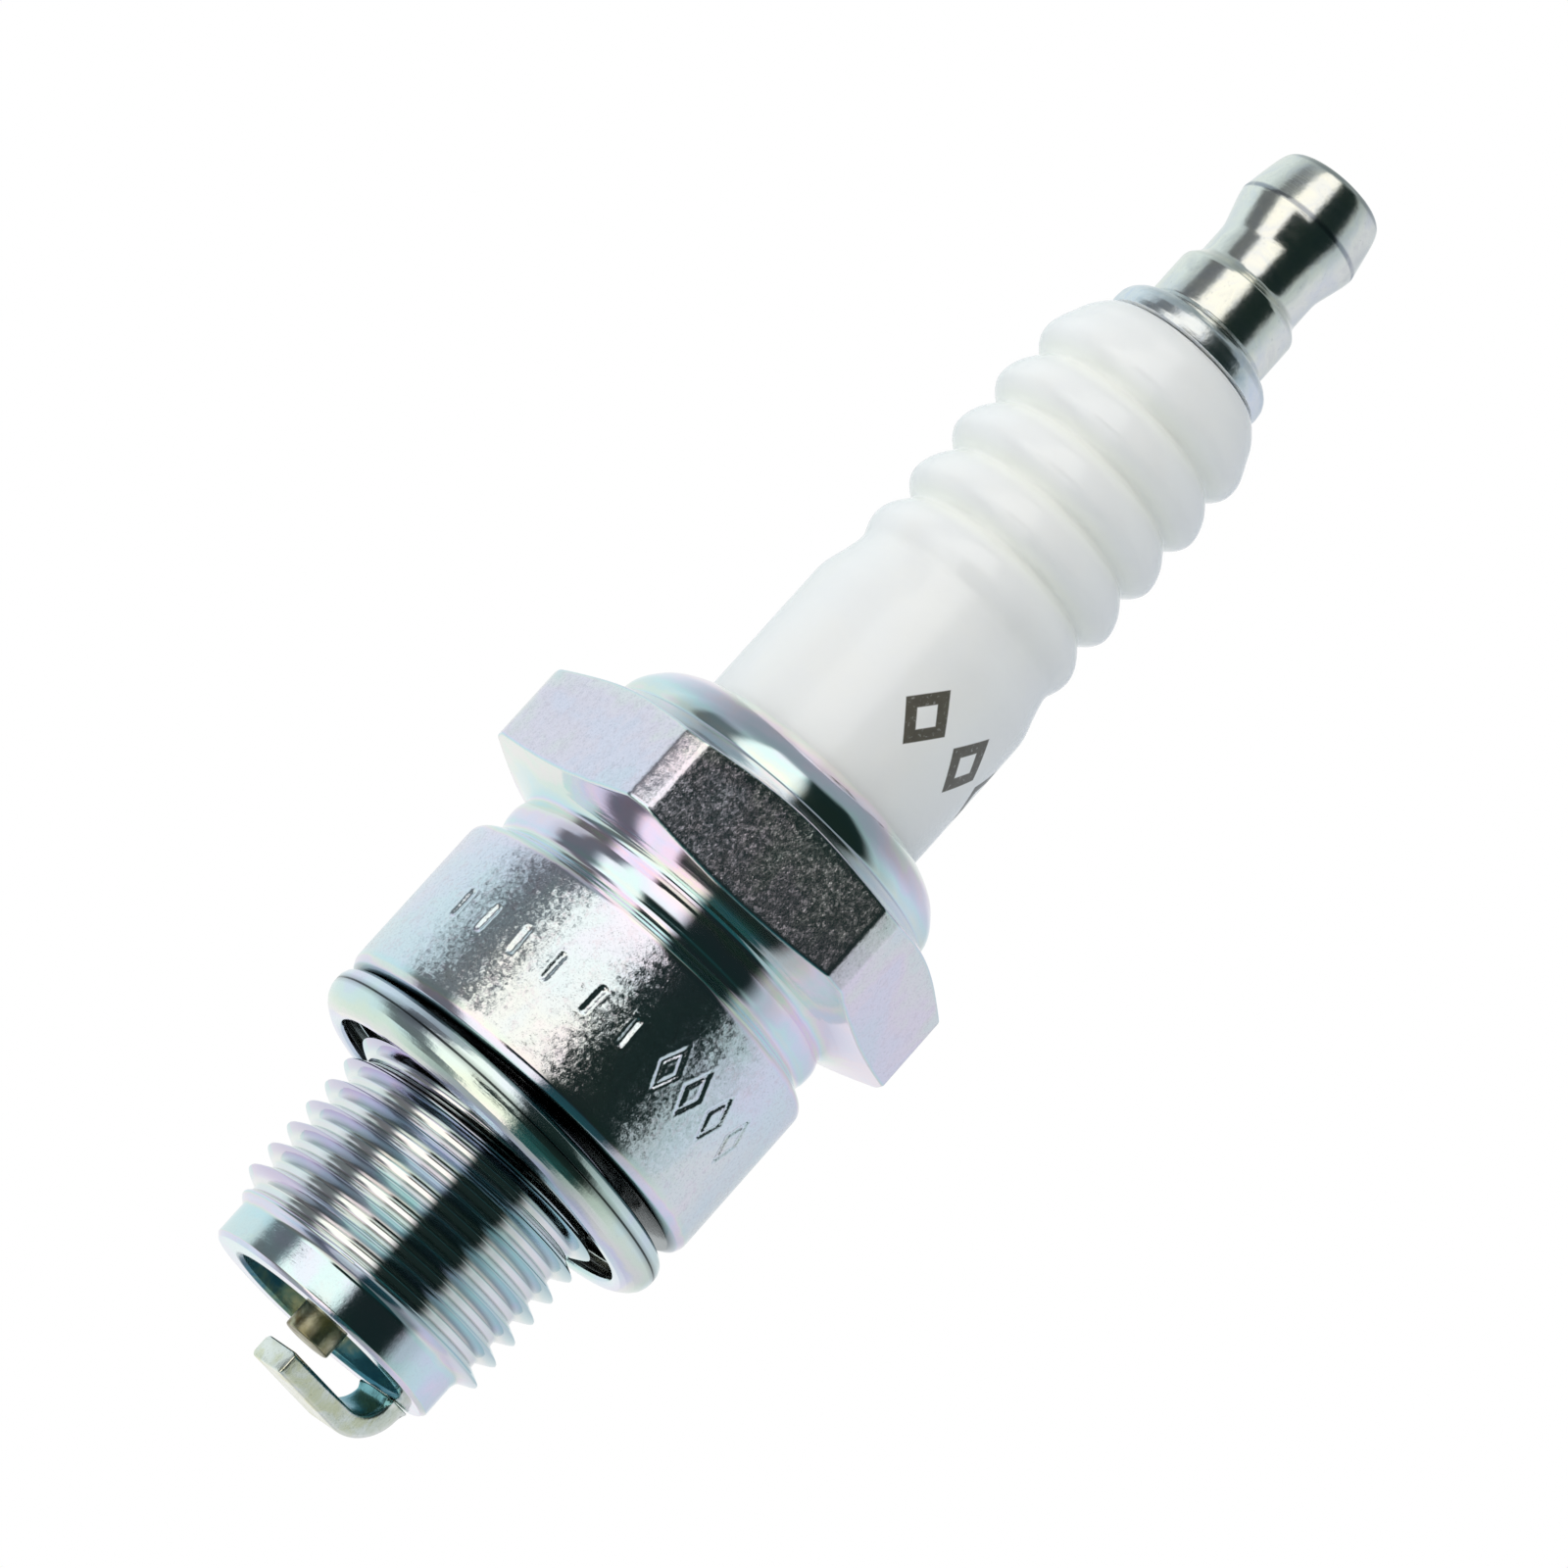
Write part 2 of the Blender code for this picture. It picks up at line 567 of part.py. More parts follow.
zinc = material("zinc_plated_steel", (0.62, 0.66, 0.65), roughness=0.22)
bright = material("bright_plated_steel", (0.68, 0.68, 0.64), roughness=0.16)
glaze = material("glazed_alumina", (0.90, 0.90, 0.88), roughness=0.10, metallic=0.0)
nickel = material("nickel_alloy", (0.52, 0.49, 0.40), roughness=0.34)
strap_metal = material("nickel_strap", (0.66, 0.64, 0.52), roughness=0.30)
gasket_metal = material("plated_soft_steel", (0.70, 0.72, 0.62), roughness=0.20)
copper = material("copper", (0.72, 0.34, 0.20), roughness=0.35)
glass = material("conductive_glass", (0.20, 0.13, 0.11), roughness=0.45, metallic=0.0)
talc = material("pressed_talc", (0.82, 0.80, 0.76), roughness=0.90, metallic=0.0)
ring_steel = material("mild_steel", (0.45, 0.45, 0.46), roughness=0.40)
stud_steel = material("terminal_steel", (0.60, 0.60, 0.57), roughness=0.25)

# ---- assembly ------------------------------------------------------------------------------
nut_axis = marker("terminal_nut_axis", NUT_LOW)
gasket_axis = marker("gasket_axis", GASKET_TOP)
build_metal_shell()
build_insulator()
build_wire_ring("upper_packing_ring", UPPER_RING)
build_talc_fill()
build_wire_ring("lower_packing_ring", LOWER_RING)
build_inner_seat_washer()
build_centre_electrode()
build_copper_core()
build_glass_seal()
build_terminal_stud()
build_terminal_nut(nut_axis)
build_gasket(gasket_axis)
build_ground_electrode()
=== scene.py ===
"""A spark plug with a hexagon shell, ribbed insulator and strap electrode.

The plug stands on the Z axis, firing end down and terminal up. A hexagon flat faces -Y,
the front. Profiles are lists of (radius, height) in millimetres, heights measured from the
shell's seat plane, which lies one thread reach above the bottom of the metal shell.
"""
import math

import bmesh
import bpy
import numpy as np
from mathutils import Matrix, Vector


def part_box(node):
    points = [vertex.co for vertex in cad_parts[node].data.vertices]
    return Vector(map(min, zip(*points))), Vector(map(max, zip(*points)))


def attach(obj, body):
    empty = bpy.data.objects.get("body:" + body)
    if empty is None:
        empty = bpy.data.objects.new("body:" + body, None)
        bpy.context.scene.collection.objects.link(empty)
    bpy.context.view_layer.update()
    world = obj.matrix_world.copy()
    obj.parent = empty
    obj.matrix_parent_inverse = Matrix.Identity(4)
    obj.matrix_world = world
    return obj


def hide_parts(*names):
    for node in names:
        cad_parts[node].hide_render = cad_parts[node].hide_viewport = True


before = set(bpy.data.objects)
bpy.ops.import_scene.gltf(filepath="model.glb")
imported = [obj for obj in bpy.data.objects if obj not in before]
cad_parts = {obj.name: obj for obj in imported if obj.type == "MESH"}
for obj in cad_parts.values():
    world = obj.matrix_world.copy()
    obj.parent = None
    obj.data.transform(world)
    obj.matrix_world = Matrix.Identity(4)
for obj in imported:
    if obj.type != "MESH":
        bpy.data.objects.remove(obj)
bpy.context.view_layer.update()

MM = 0.001
REACH = 12.7
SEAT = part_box("metal_shell")[0].z / MM + REACH
TAU = 2.0 * math.pi
RAD_TO_DEG = 57.29578

CERAMIC_R = 6.05      # plain body of the insulator
VIEW_AZIMUTH = -5.3   # degrees from the front to the camera; the gasket tilts across this view


# ---------------------------------------------------------------------------
# Profiles
# ---------------------------------------------------------------------------
def smooth(start, end, x):
    """Eases from 0 at start to 1 at end; start may be the larger."""
    t = np.clip((np.asarray(x, float) - start) / (end - start), 0.0, 1.0)
    return t * t * (3.0 - 2.0 * t)


def refine(points, step):
    """Cuts a profile's edges so that none is longer than step."""
    out = []
    for (r0, z0), (r1, z1) in zip(points, points[1:]):
        n = max(1, int(math.ceil(math.hypot(r1 - r0, z1 - z0) / step)))
        for i in range(n):
            t = i / n
            out.append((r0 + (r1 - r0) * t, z0 + (z1 - z0) * t))
    out.append(points[-1])
    return out


def spline(points, step):
    """A smooth curve through the points (centripetal Catmull-Rom), sampled."""
    p = [np.array(q, float) for q in points]
    p = [2 * p[0] - p[1]] + p + [2 * p[-1] - p[-2]]
    out = []
    for a, b, c, d in zip(p, p[1:], p[2:], p[3:]):
        ta = 0.0
        tb = ta + max(np.linalg.norm(b - a), 1e-6) ** 0.5
        tc = tb + max(np.linalg.norm(c - b), 1e-6) ** 0.5
        td = tc + max(np.linalg.norm(d - c), 1e-6) ** 0.5
        n = max(1, int(math.ceil(np.linalg.norm(c - b) / step)))
        for k in range(n):
            t = tb + (tc - tb) * k / n
            a1 = (tb - t) / (tb - ta) * a + (t - ta) / (tb - ta) * b
            a2 = (tc - t) / (tc - tb) * b + (t - tb) / (tc - tb) * c
            a3 = (td - t) / (td - tc) * c + (t - tc) / (td - tc) * d
            b1 = (tc - t) / (tc - ta) * a1 + (t - ta) / (tc - ta) * a2
            b2 = (td - t) / (td - tb) * a2 + (t - tb) / (td - tb) * a3
            q = (tc - t) / (tc - tb) * b1 + (t - tb) / (tc - tb) * b2
            out.append((float(q[0]), float(q[1])))
    out.append(tuple(points[-1]))
    return out


def rounded(corners, count=4):
    """Rounds a profile given as (radius, height, corner rounding); 0 keeps a corner sharp."""
    n = len(corners)
    straight = math.radians(86)  # corners flatter than this half angle stay as they are
    out = []
    for i, (r, z, want) in enumerate(corners):
        if want <= 0:
            out.append((r, z))
            continue
        here = np.array((r, z), float)
        u = np.array(corners[i - 1][:2], float) - here
        v = np.array(corners[(i + 1) % n][:2], float) - here
        length_u, length_v = np.linalg.norm(u), np.linalg.norm(v)
        u, v = u / length_u, v / length_v
        half = math.acos(max(-1.0, min(1.0, float(u @ v)))) / 2
        if half > straight:
            out.append((r, z))
            continue
        cut = min(want / math.tan(half), length_u * 0.45, length_v * 0.45)
        arc_r = cut * math.tan(half)
        centre = here + (u + v) / np.linalg.norm(u + v) * (arc_r / math.sin(half))
        start, end = here + u * cut, here + v * cut
        a0 = math.atan2(*(start - centre)[::-1])
        a1 = math.atan2(*(end - centre)[::-1])
        sweep = (a1 - a0 + math.pi) % TAU - math.pi
        for k in range(count + 1):
            t = a0 + sweep * k / count
            out.append((float(centre[0] + arc_r * math.cos(t)),
                        float(centre[1] + arc_r * math.sin(t))))
    return out


# ---------------------------------------------------------------------------
# Grids of points and faces
# ---------------------------------------------------------------------------
def even_angles(count):
    return np.arange(count) * TAU / count


def ring_points(radii, heights, angles):
    """Points, row by row, from radii and heights that broadcast against the angles."""
    radii, heights, angles = np.broadcast_arrays(radii, heights, angles)
    points = [radii * np.cos(angles), radii * np.sin(angles), heights + SEAT]
    return np.stack(points, -1).reshape(-1, 3)


def profile_points(profile, angles):
    profile = np.array(profile, float)
    return ring_points(profile[:, :1], profile[:, 1:], angles)


def grid_faces(rows, cols, wrap_rows=False, offset=0):
    """Quads between rows of points that close round the axis."""
    faces = []
    for j in range(rows if wrap_rows else rows - 1):
        k = (j + 1) % rows
        for i in range(cols):
            n = (i + 1) % cols
            faces.append((offset + j * cols + i, offset + j * cols + n,
                          offset + k * cols + n, offset + k * cols + i))
    return faces


def lathe(profile, cols, closed=True):
    """Points and faces of a turned body."""
    faces = grid_faces(len(profile), cols, wrap_rows=closed)
    return profile_points(profile, even_angles(cols)), faces


def helix_rows(low, high, pitch, steps, turns):
    """Rows that climb one pitch a turn: turns at each row's start, and clamped heights.

    They start one pitch below low, so that the clamped grid begins as a flat ring.
    """
    row_turns = np.arange(-steps, int((high - low) / pitch * steps) + 2)[:, None] / steps
    heights = low + row_turns * pitch + turns * pitch
    return row_turns, np.clip(heights, low, high)


def helix_faces(rows, cols, steps, offset):
    """Quads of a helical grid: each row runs on into the row one pitch further up."""
    faces = []
    for j in range(rows - 1):
        for i in range(cols - 1):
            here = offset + j * cols + i
            faces.append((here, here + 1, here + cols + 1, here + cols))
        last = offset + (j + 1) * cols - 1
        joined = offset + min(j + steps, rows - 1) * cols
        above = offset + min(j + 1 + steps, rows - 1) * cols
        faces.append(tuple(dict.fromkeys((last, joined, above, last + cols))))
    return faces


def thread_shape(turns, soft_root, soft_crest, root, crest):
    """About 0 at the root and 1 at the crest, through one pitch.

    The flanks run between the fractions root and crest of a triangle wave.
    """
    triangle = 1.0 - np.abs(2.0 * np.mod(turns, 1.0) - 1.0)
    line = (triangle - root) / (crest - root)
    low = 0.5 * (line + np.sqrt(line * line + soft_root * soft_root))
    return 1.0 - 0.5 * ((1.0 - low) + np.sqrt((1.0 - low) ** 2 + soft_crest * soft_crest))


def add_surface(node, slot, points, faces, sharp, body="plug_body", attributes=None,
                merge=2e-7):
    """Builds the smooth, merged mesh that stands in for a CAD node.

    points are millimetres, sharp is degrees and merge is metres.
    """
    name = node + "_surface"
    mesh = bpy.data.meshes.new(name)
    mesh.from_pydata((np.array(points) * MM).tolist(), [], faces)
    for key, values in (attributes or {}).items():
        layer = mesh.attributes.new(key, "FLOAT", "POINT")
        layer.data.foreach_set("value", np.asarray(values, np.float32))
    work = bmesh.new()
    work.from_mesh(mesh)
    bmesh.ops.remove_doubles(work, verts=work.verts, dist=merge)
    bmesh.ops.dissolve_degenerate(work, edges=work.edges, dist=merge)
    loose = [v for v in work.verts if not v.link_faces]
    if loose:
        bmesh.ops.delete(work, geom=loose, context="VERTS")
    if work.calc_volume(signed=True) < 0:
        bmesh.ops.reverse_faces(work, faces=work.faces)
    work.to_mesh(mesh)
    work.free()
    mesh.shade_smooth()
    mesh.set_sharp_from_angle(angle=math.radians(sharp))
    obj = bpy.data.objects.new(name, mesh)
    bpy.context.scene.collection.objects.link(obj)
    mesh.materials.append(MATERIALS[slot])
    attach(obj, body)
    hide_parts(node)


# ---------------------------------------------------------------------------
# Shader fields
# ---------------------------------------------------------------------------
def add_node(tree, kind, inputs=None, **settings):
    """Adds a node; an input is a Field, a plain value, or None to leave it alone."""
    node = tree.nodes.new(kind)
    for name, value in settings.items():
        setattr(node, name, value)
    for key, value in (inputs or {}).items():
        socket = node.inputs[key]
        if isinstance(value, Field):
            tree.links.new(value.socket, socket)
        elif value is not None:
            rgb = socket.type == "RGBA" and len(value) == 3
            socket.default_value = (*value, 1.0) if rgb else value
    return node


class Field:
    """A node's output. Arithmetic and methods add the nodes that work on it."""

    def __init__(self, tree, socket):
        self.tree = tree
        self.socket = socket

    def node(self, kind, output=0, inputs=None, **settings):
        made = add_node(self.tree, kind, inputs, **settings)
        return Field(self.tree, made.outputs[output])

    def math(self, operation, other=None, flip=False):
        pair = (other, self) if flip else (self, other)
        return self.node("ShaderNodeMath", 0, dict(enumerate(pair)), operation=operation)

    def __add__(self, other):
        return self.math("ADD", other)

    def __radd__(self, other):
        return self.math("ADD", other, flip=True)

    def __sub__(self, other):
        return self.math("SUBTRACT", other)

    def __rsub__(self, other):
        return self.math("SUBTRACT", other, flip=True)

    def __mul__(self, other):
        return self.math("MULTIPLY", other)

    def __truediv__(self, other):
        return self.math("DIVIDE", other)

    def vector(self, operation, other=None):
        output = "Value" if operation in ("LENGTH", "DOT_PRODUCT") else "Vector"
        return self.node("ShaderNodeVectorMath", output, {0: self, 1: other},
                         operation=operation)

    def scaled(self, scale):
        return self.node("ShaderNodeVectorMath", "Vector", {0: self, "Scale": scale},
                         operation="SCALE")

    def components(self):
        made = add_node(self.tree, "ShaderNodeSeparateXYZ", {0: self})
        return [Field(self.tree, socket) for socket in made.outputs]

    def from_to(self, start, end, low=0.0, high=1.0, kind="SMOOTHSTEP"):
        """low where this field is at start, easing to high where it is at end."""
        return self.node("ShaderNodeMapRange", "Result", {
            "Value": self, "From Min": start, "From Max": end, "To Min": low, "To Max": high,
        }, interpolation_type=kind, clamp=True)

    def band(self, rise, fall):
        """1 between the (start, end) pairs rise and fall, 0 outside them."""
        return self.from_to(*rise) * self.from_to(*fall[::-1])

    def mix(self, low, high):
        """The colour low where this field is 0, high where it is 1."""
        # sockets 6, 7 and 2 are the Mix node's colour inputs and output
        return self.node("ShaderNodeMix", 2, {0: self, 6: low, 7: high}, data_type="RGBA")

    def ramp(self, stops, interpolation="LINEAR"):
        """Colours along this field, from (position, colour) stops."""
        made = add_node(self.tree, "ShaderNodeValToRGB", {"Fac": self})
        ramp = made.color_ramp
        ramp.interpolation = interpolation
        while len(ramp.elements) < len(stops):
            ramp.elements.new(0.5)
        for element, (position, colour) in zip(ramp.elements, stops):
            element.position = position
            element.color = (*colour, 1.0)
        return Field(self.tree, made.outputs["Color"])

    def noise(self, scale, detail=2.0, roughness=0.5, distortion=0.0, output="Fac"):
        return self.node("ShaderNodeTexNoise", output, {
            "Vector": self, "Scale": scale, "Detail": detail, "Roughness": roughness,
            "Distortion": distortion})

    def cells(self, scale, output="Distance"):
        return self.node("ShaderNodeTexVoronoi", output, {"Vector": self, "Scale": scale})

    def lean(self, amount):
        """An offset to the normal, from a random colour."""
        return self.vector("SUBTRACT", (0.5, 0.5, 0.5)).scaled(amount)

    def bump(self, distance, strength=1.0, normal=None):
        """A normal from this field as relief; distance is metres."""
        return self.node("ShaderNodeBump", "Normal", {
            "Distance": distance, "Strength": strength, "Height": self, "Normal": normal})

    def attribute(self, name):
        return self.node("ShaderNodeAttribute", "Fac", attribute_name=name)

    def normal(self):
        return self.node("ShaderNodeNewGeometry", "Normal")


def clear_tree(owner, coordinates):
    """Empties a node tree and returns the wanted texture coordinates in it."""
    owner.use_nodes = True
    tree = owner.node_tree
    tree.nodes.clear()
    return Field(tree, add_node(tree, "ShaderNodeTexCoord").outputs[coordinates])


def make_material(name, recipe, **settings):
    """A material whose recipe turns a place in mm into Principled inputs."""
    material = bpy.data.materials.new(name)
    place = clear_tree(material, "Object").scaled(1000.0)
    surface = place.node("ShaderNodeBsdfPrincipled", 0, recipe(place, **settings))
    add_node(place.tree, "ShaderNodeOutputMaterial", {"Surface": surface})
    return material


def cylindrical(place):
    """Angle round the axis in degrees, radius, and height above the seat."""
    x, y, z = place.components()
    angle = y.math("ARCTAN2", x) * RAD_TO_DEG
    radius = (x * x + y * y).math("SQRT")
    return angle, radius, z - SEAT


def turned_lines(angle, radius, height, along, **noise):
    """Noise drawn out round the axis; along is how fast it changes with a degree."""
    place = radius.node("ShaderNodeCombineXYZ", 0, {0: angle * along, 1: radius, 2: height})
    return place.noise(**noise)


# ---------------------------------------------------------------------------
# Materials
# ---------------------------------------------------------------------------
def shell_plating(place):
    """Clear-chromated zinc on forged steel: thin interference tints, a speckled
    forged grain where the attribute grain is high, mirror-like where turned."""
    angle, radius, height = cylindrical(place)
    grain = place.attribute("grain")

    # tint: film thickness drifts slowly over the part and follows the turned shape
    facing_up = place.normal().components()[2]
    drift = place.noise(scale=0.16, detail=3.0, roughness=0.55, distortion=0.6)
    fine = place.noise(scale=1.1, detail=3.0, roughness=0.6, distortion=0.2)
    film = drift * 1.5 + fine * 0.28 + facing_up * 0.85 + height * 0.055
    tint = film.math("FRACT").ramp([
        (0.00, (0.80, 0.91, 0.89)), (0.17, (0.74, 0.92, 0.93)), (0.33, (0.80, 0.86, 0.96)),
        (0.50, (0.90, 0.84, 0.97)), (0.64, (0.97, 0.83, 0.92)), (0.76, (0.95, 0.90, 0.86)),
        (0.88, (0.86, 0.93, 0.84)), (1.00, (0.80, 0.91, 0.89)),
    ], "EASE")
    colour = grain.from_to(0.3, 0.9, high=0.42).mix(tint, (0.945, 0.895, 0.955))

    # grain: dark pits, bright worn flats and pinkish dust
    speck = place.noise(scale=8.5, detail=3.0, roughness=0.62)
    speck_big = place.noise(scale=3.1)
    pits = place.cells(scale=6.5).from_to(0.02, 0.30)
    worn = place.noise(scale=3.6, detail=3.0, roughness=0.7).from_to(0.56, 0.72)
    dust = place.noise(scale=2.3, detail=3.0, roughness=0.7, distortion=0.3)
    dark = (1.0 - speck.from_to(0.34, 0.47)) * grain
    colour = (dark * 0.30).mix(colour, (0.42, 0.45, 0.50))
    colour = (worn * grain * 0.25).mix(colour, (0.98, 0.98, 0.96))
    colour = (dust.from_to(0.52, 0.66) * grain * 0.35).mix(colour, (0.80, 0.68, 0.74))

    # painted reflections in the bore: dark teal and yellow-green that change with the angle,
    # darker than the plating
    bore = radius.from_to(4.90, 4.72) * height.from_to(-4.0, -5.0)
    swirl = (place.noise(scale=0.6, detail=3.0, roughness=0.6, distortion=0.4) - 0.5) * 0.9
    swirl = swirl + angle.math("ABSOLUTE").from_to(20.0, 150.0, kind="LINEAR")
    painted_bore_reflection = swirl.ramp([
        (0.00, (0.04, 0.20, 0.28)), (0.25, (0.08, 0.28, 0.34)), (0.42, (0.42, 0.50, 0.34)),
        (0.56, (0.60, 0.60, 0.32)), (0.72, (0.22, 0.36, 0.26)), (0.86, (0.05, 0.20, 0.26)),
        (1.00, (0.03, 0.12, 0.18)),
    ])
    colour = bore.mix(colour, painted_bore_reflection)

    # the thread: painted highlight on the roots (brighter, warmer), painted reflection tints on
    # the crests that change hue with the angle, and a fine painted shade line between
    colour = (place.attribute("root") * 0.70).mix(colour, (1.0, 0.965, 0.90))
    patches = place.noise(scale=0.35, distortion=0.4).from_to(0.42, 0.58)
    crest = patches.mix((0.36, 0.56, 0.60), (0.48, 0.54, 0.66))
    crest = angle.from_to(-122.0, -142.0).mix(crest, (0.76, 0.63, 0.80))
    crest = angle.from_to(-72.0, -58.0).mix(crest, (0.58, 0.76, 0.78))
    colour = (place.attribute("painted_crest_tint") * 0.80).mix(colour, crest)
    colour = (place.attribute("line") * 0.60).mix(colour, (0.08, 0.11, 0.15))
    # painted shade in the hollow round the seat
    colour = place.attribute("shade").mix(colour, (0.034, 0.066, 0.078))

    # the hexagon's flats are a softer, duller skin than the barrel
    flats = radius.from_to(9.85, 10.10) * height.band(rise=(11.85, 12.15), fall=(15.75, 16.0))
    rough = 0.070 + grain * 0.05 + speck * grain * 0.06 + fine * 0.03 + flats * 0.05

    # relief: the grain, and lathe lines everywhere
    turning = turned_lines(angle, radius, height * 1.0, along=0.004, scale=9.0, roughness=0.6)
    relief = (speck * 0.8 + speck_big * 1.1 + pits * 0.35) * grain + turning * 0.22

    # each small crystal face of the forged skin leans its own way
    lean = place.cells(scale=6.0, output="Color").lean(amount=0.105)
    lean = lean.vector("ADD", place.cells(scale=13.0, output="Color").lean(amount=0.050))
    lean = lean.vector("ADD", place.noise(scale=2.6, output="Color").lean(amount=0.135))
    lean = lean.scaled(grain * grain * (1.0 - flats * 0.06))
    facet = place.normal().vector("ADD", lean).vector("NORMALIZE")
    return {
        "Base Color": colour,
        "Metallic": 1.0 - bore * 0.35,
        # a faint painted glow in the bore
        "Emission Color": painted_bore_reflection,
        "Emission Strength": bore * 0.07,
        "Roughness": rough,
        "Normal": relief.bump(distance=0.000009, normal=facet),
    }


def glazed_ceramic(place):
    """White glazed alumina: clear glaze over a faintly translucent body."""
    angle, radius, height = cylindrical(place)
    groove = place.attribute("groove")
    cloud = place.noise(scale=0.35, detail=3.0).from_to(0.35, 0.7)
    body = cloud.mix((0.925, 0.930, 0.938), (0.940, 0.938, 0.930))
    # painted greenish shade in the grooves between the ribs
    body = (groove * 0.80).mix(body, (0.935, 0.955, 0.890))

    # a generic printed mark: three plain lozenge outlines, no lettering
    mm_per_degree = CERAMIC_R / 57.3
    half_width, half_height, middle = 1.30, 1.62, 24.5
    mark = None
    for centre in (-75.7, -43.3, -10.9):
        across = ((angle - centre) * mm_per_degree).math("ABSOLUTE") / half_width
        inside = across + (height - middle).math("ABSOLUTE") / half_height
        ring = inside.from_to(1.04, 0.98) * inside.from_to(0.44, 0.50)
        mark = ring if mark is None else mark.math("MAXIMUM", ring)
    outer = radius.from_to(5.6, 5.8)
    worn = place.noise(scale=5.5, roughness=0.6).from_to(0.25, 0.42, low=0.75)
    mark = mark * outer * worn
    ink = place.noise(scale=2.2).mix((0.085, 0.078, 0.062), (0.135, 0.125, 0.100))

    # the nose inside the shell is bare, unglazed ceramic
    bare = height.from_to(0.5, -0.5)
    orange_peel = place.noise(scale=0.9, roughness=0.4)
    relief = orange_peel + place.noise(scale=7.0) * 0.06 - mark * 0.02
    return {
        "Base Color": mark.mix(body, ink),
        "Roughness": 0.14 + mark * 0.30 + bare * 0.45,
        "IOR": 1.52,
        "Subsurface Weight": 0.30,
        "Subsurface Radius": (1.0, 1.0, 0.95),
        "Subsurface Scale": 0.0012,
        # a faint painted glow keeps the grooves pale, standing in for light that passes through
        # the ceramic
        "Emission Color": (0.93, 0.96, 0.92),
        "Emission Strength": groove * 0.012,
        "Coat Weight": 0.35,
        "Coat Roughness": 0.06,
        "Normal": relief.bump(distance=0.000030, strength=0.7),
    }


def terminal_plating(place):
    """Bright nickel plate over turned steel."""
    angle, radius, height = cylindrical(place)
    drift = place.noise(scale=0.5, detail=3.0, roughness=0.55, distortion=0.4)
    colour = drift.ramp([
        (0.30, (0.80, 0.79, 0.74)), (0.46, (0.95, 0.93, 0.83)),
        (0.60, (0.86, 0.86, 0.84)), (0.74, (0.96, 0.93, 0.84)),
    ])
    spots = place.noise(scale=4.2, detail=3.0, roughness=0.65).from_to(0.60, 0.72)
    colour = (spots * 0.30).mix(colour, (0.55, 0.55, 0.53))
    # painted shade lines at the widest ring and the top edge
    wide = height.band(rise=(54.28, 54.40), fall=(54.50, 54.66))
    top = height.band(rise=(56.66, 56.82), fall=(57.02, 57.12))
    painted_ring_shade = wide.math("MAXIMUM", top * 0.6) * drift.from_to(0.30, 0.50, low=0.35, high=0.85)
    turning = turned_lines(angle, radius, height, along=0.006,
                           scale=7.5, detail=3.0, roughness=0.65)
    relief = turning * 0.35 + place.noise(scale=1.6) * 0.65
    return {
        "Base Color": painted_ring_shade.mix(colour, (0.34, 0.36, 0.40)),
        "Metallic": 1.0,
        "Roughness": 0.11 + turning * 0.10,
        "Normal": relief.bump(distance=0.000016),
    }


def stud_steel(place):
    """Turned steel with a bluish drift."""
    angle, radius, height = cylindrical(place)
    drift = place.noise(scale=0.7, detail=3.0, roughness=0.55, distortion=0.4)
    turning = turned_lines(angle, radius, height, along=0.006,
                           scale=6.0, detail=3.0, roughness=0.6)
    relief = turning * 0.4 + place.noise(scale=3.0) * 0.6
    return {
        "Base Color": drift.ramp([
            (0.30, (0.72, 0.78, 0.84)), (0.50, (0.88, 0.90, 0.90)), (0.70, (0.76, 0.82, 0.92)),
        ]),
        "Metallic": 1.0,
        "Roughness": 0.17 + turning * 0.12,
        "Normal": relief.bump(distance=0.000018),
    }


def gasket_metal(place):
    """Soft plated steel with stronger yellow-green and violet interference tints."""
    angle, radius, height = cylindrical(place)
    drift = place.noise(scale=0.22, detail=3.0, distortion=0.5)
    film = drift * 1.1 + radius * 0.42 + height * 0.25
    colour = film.math("FRACT").ramp([
        (0.00, (0.86, 0.93, 0.78)), (0.25, (0.80, 0.93, 0.88)), (0.45, (0.80, 0.87, 0.95)),
        (0.62, (0.84, 0.80, 0.95)), (0.78, (0.95, 0.90, 0.84)), (1.00, (0.86, 0.93, 0.78)),
    ], "EASE")
    fine = place.noise(scale=5.0, detail=3.0, roughness=0.6)
    colour = fine.from_to(0.60, 0.75, high=0.25).mix(colour, (0.60, 0.62, 0.58))
    rolled = turned_lines(angle, radius, height, along=0.03,
                          scale=4.0, detail=3.0, roughness=0.6)
    return {
        # painted shade in the tucked fold and along the seam
        "Base Color": place.attribute("shade").mix(colour, (0.012, 0.014, 0.015)),
        "Metallic": 1.0,
        "Roughness": 0.09 + fine * 0.09,
        "Normal": (rolled * 0.6 + fine * 0.25).bump(distance=0.000016),
    }


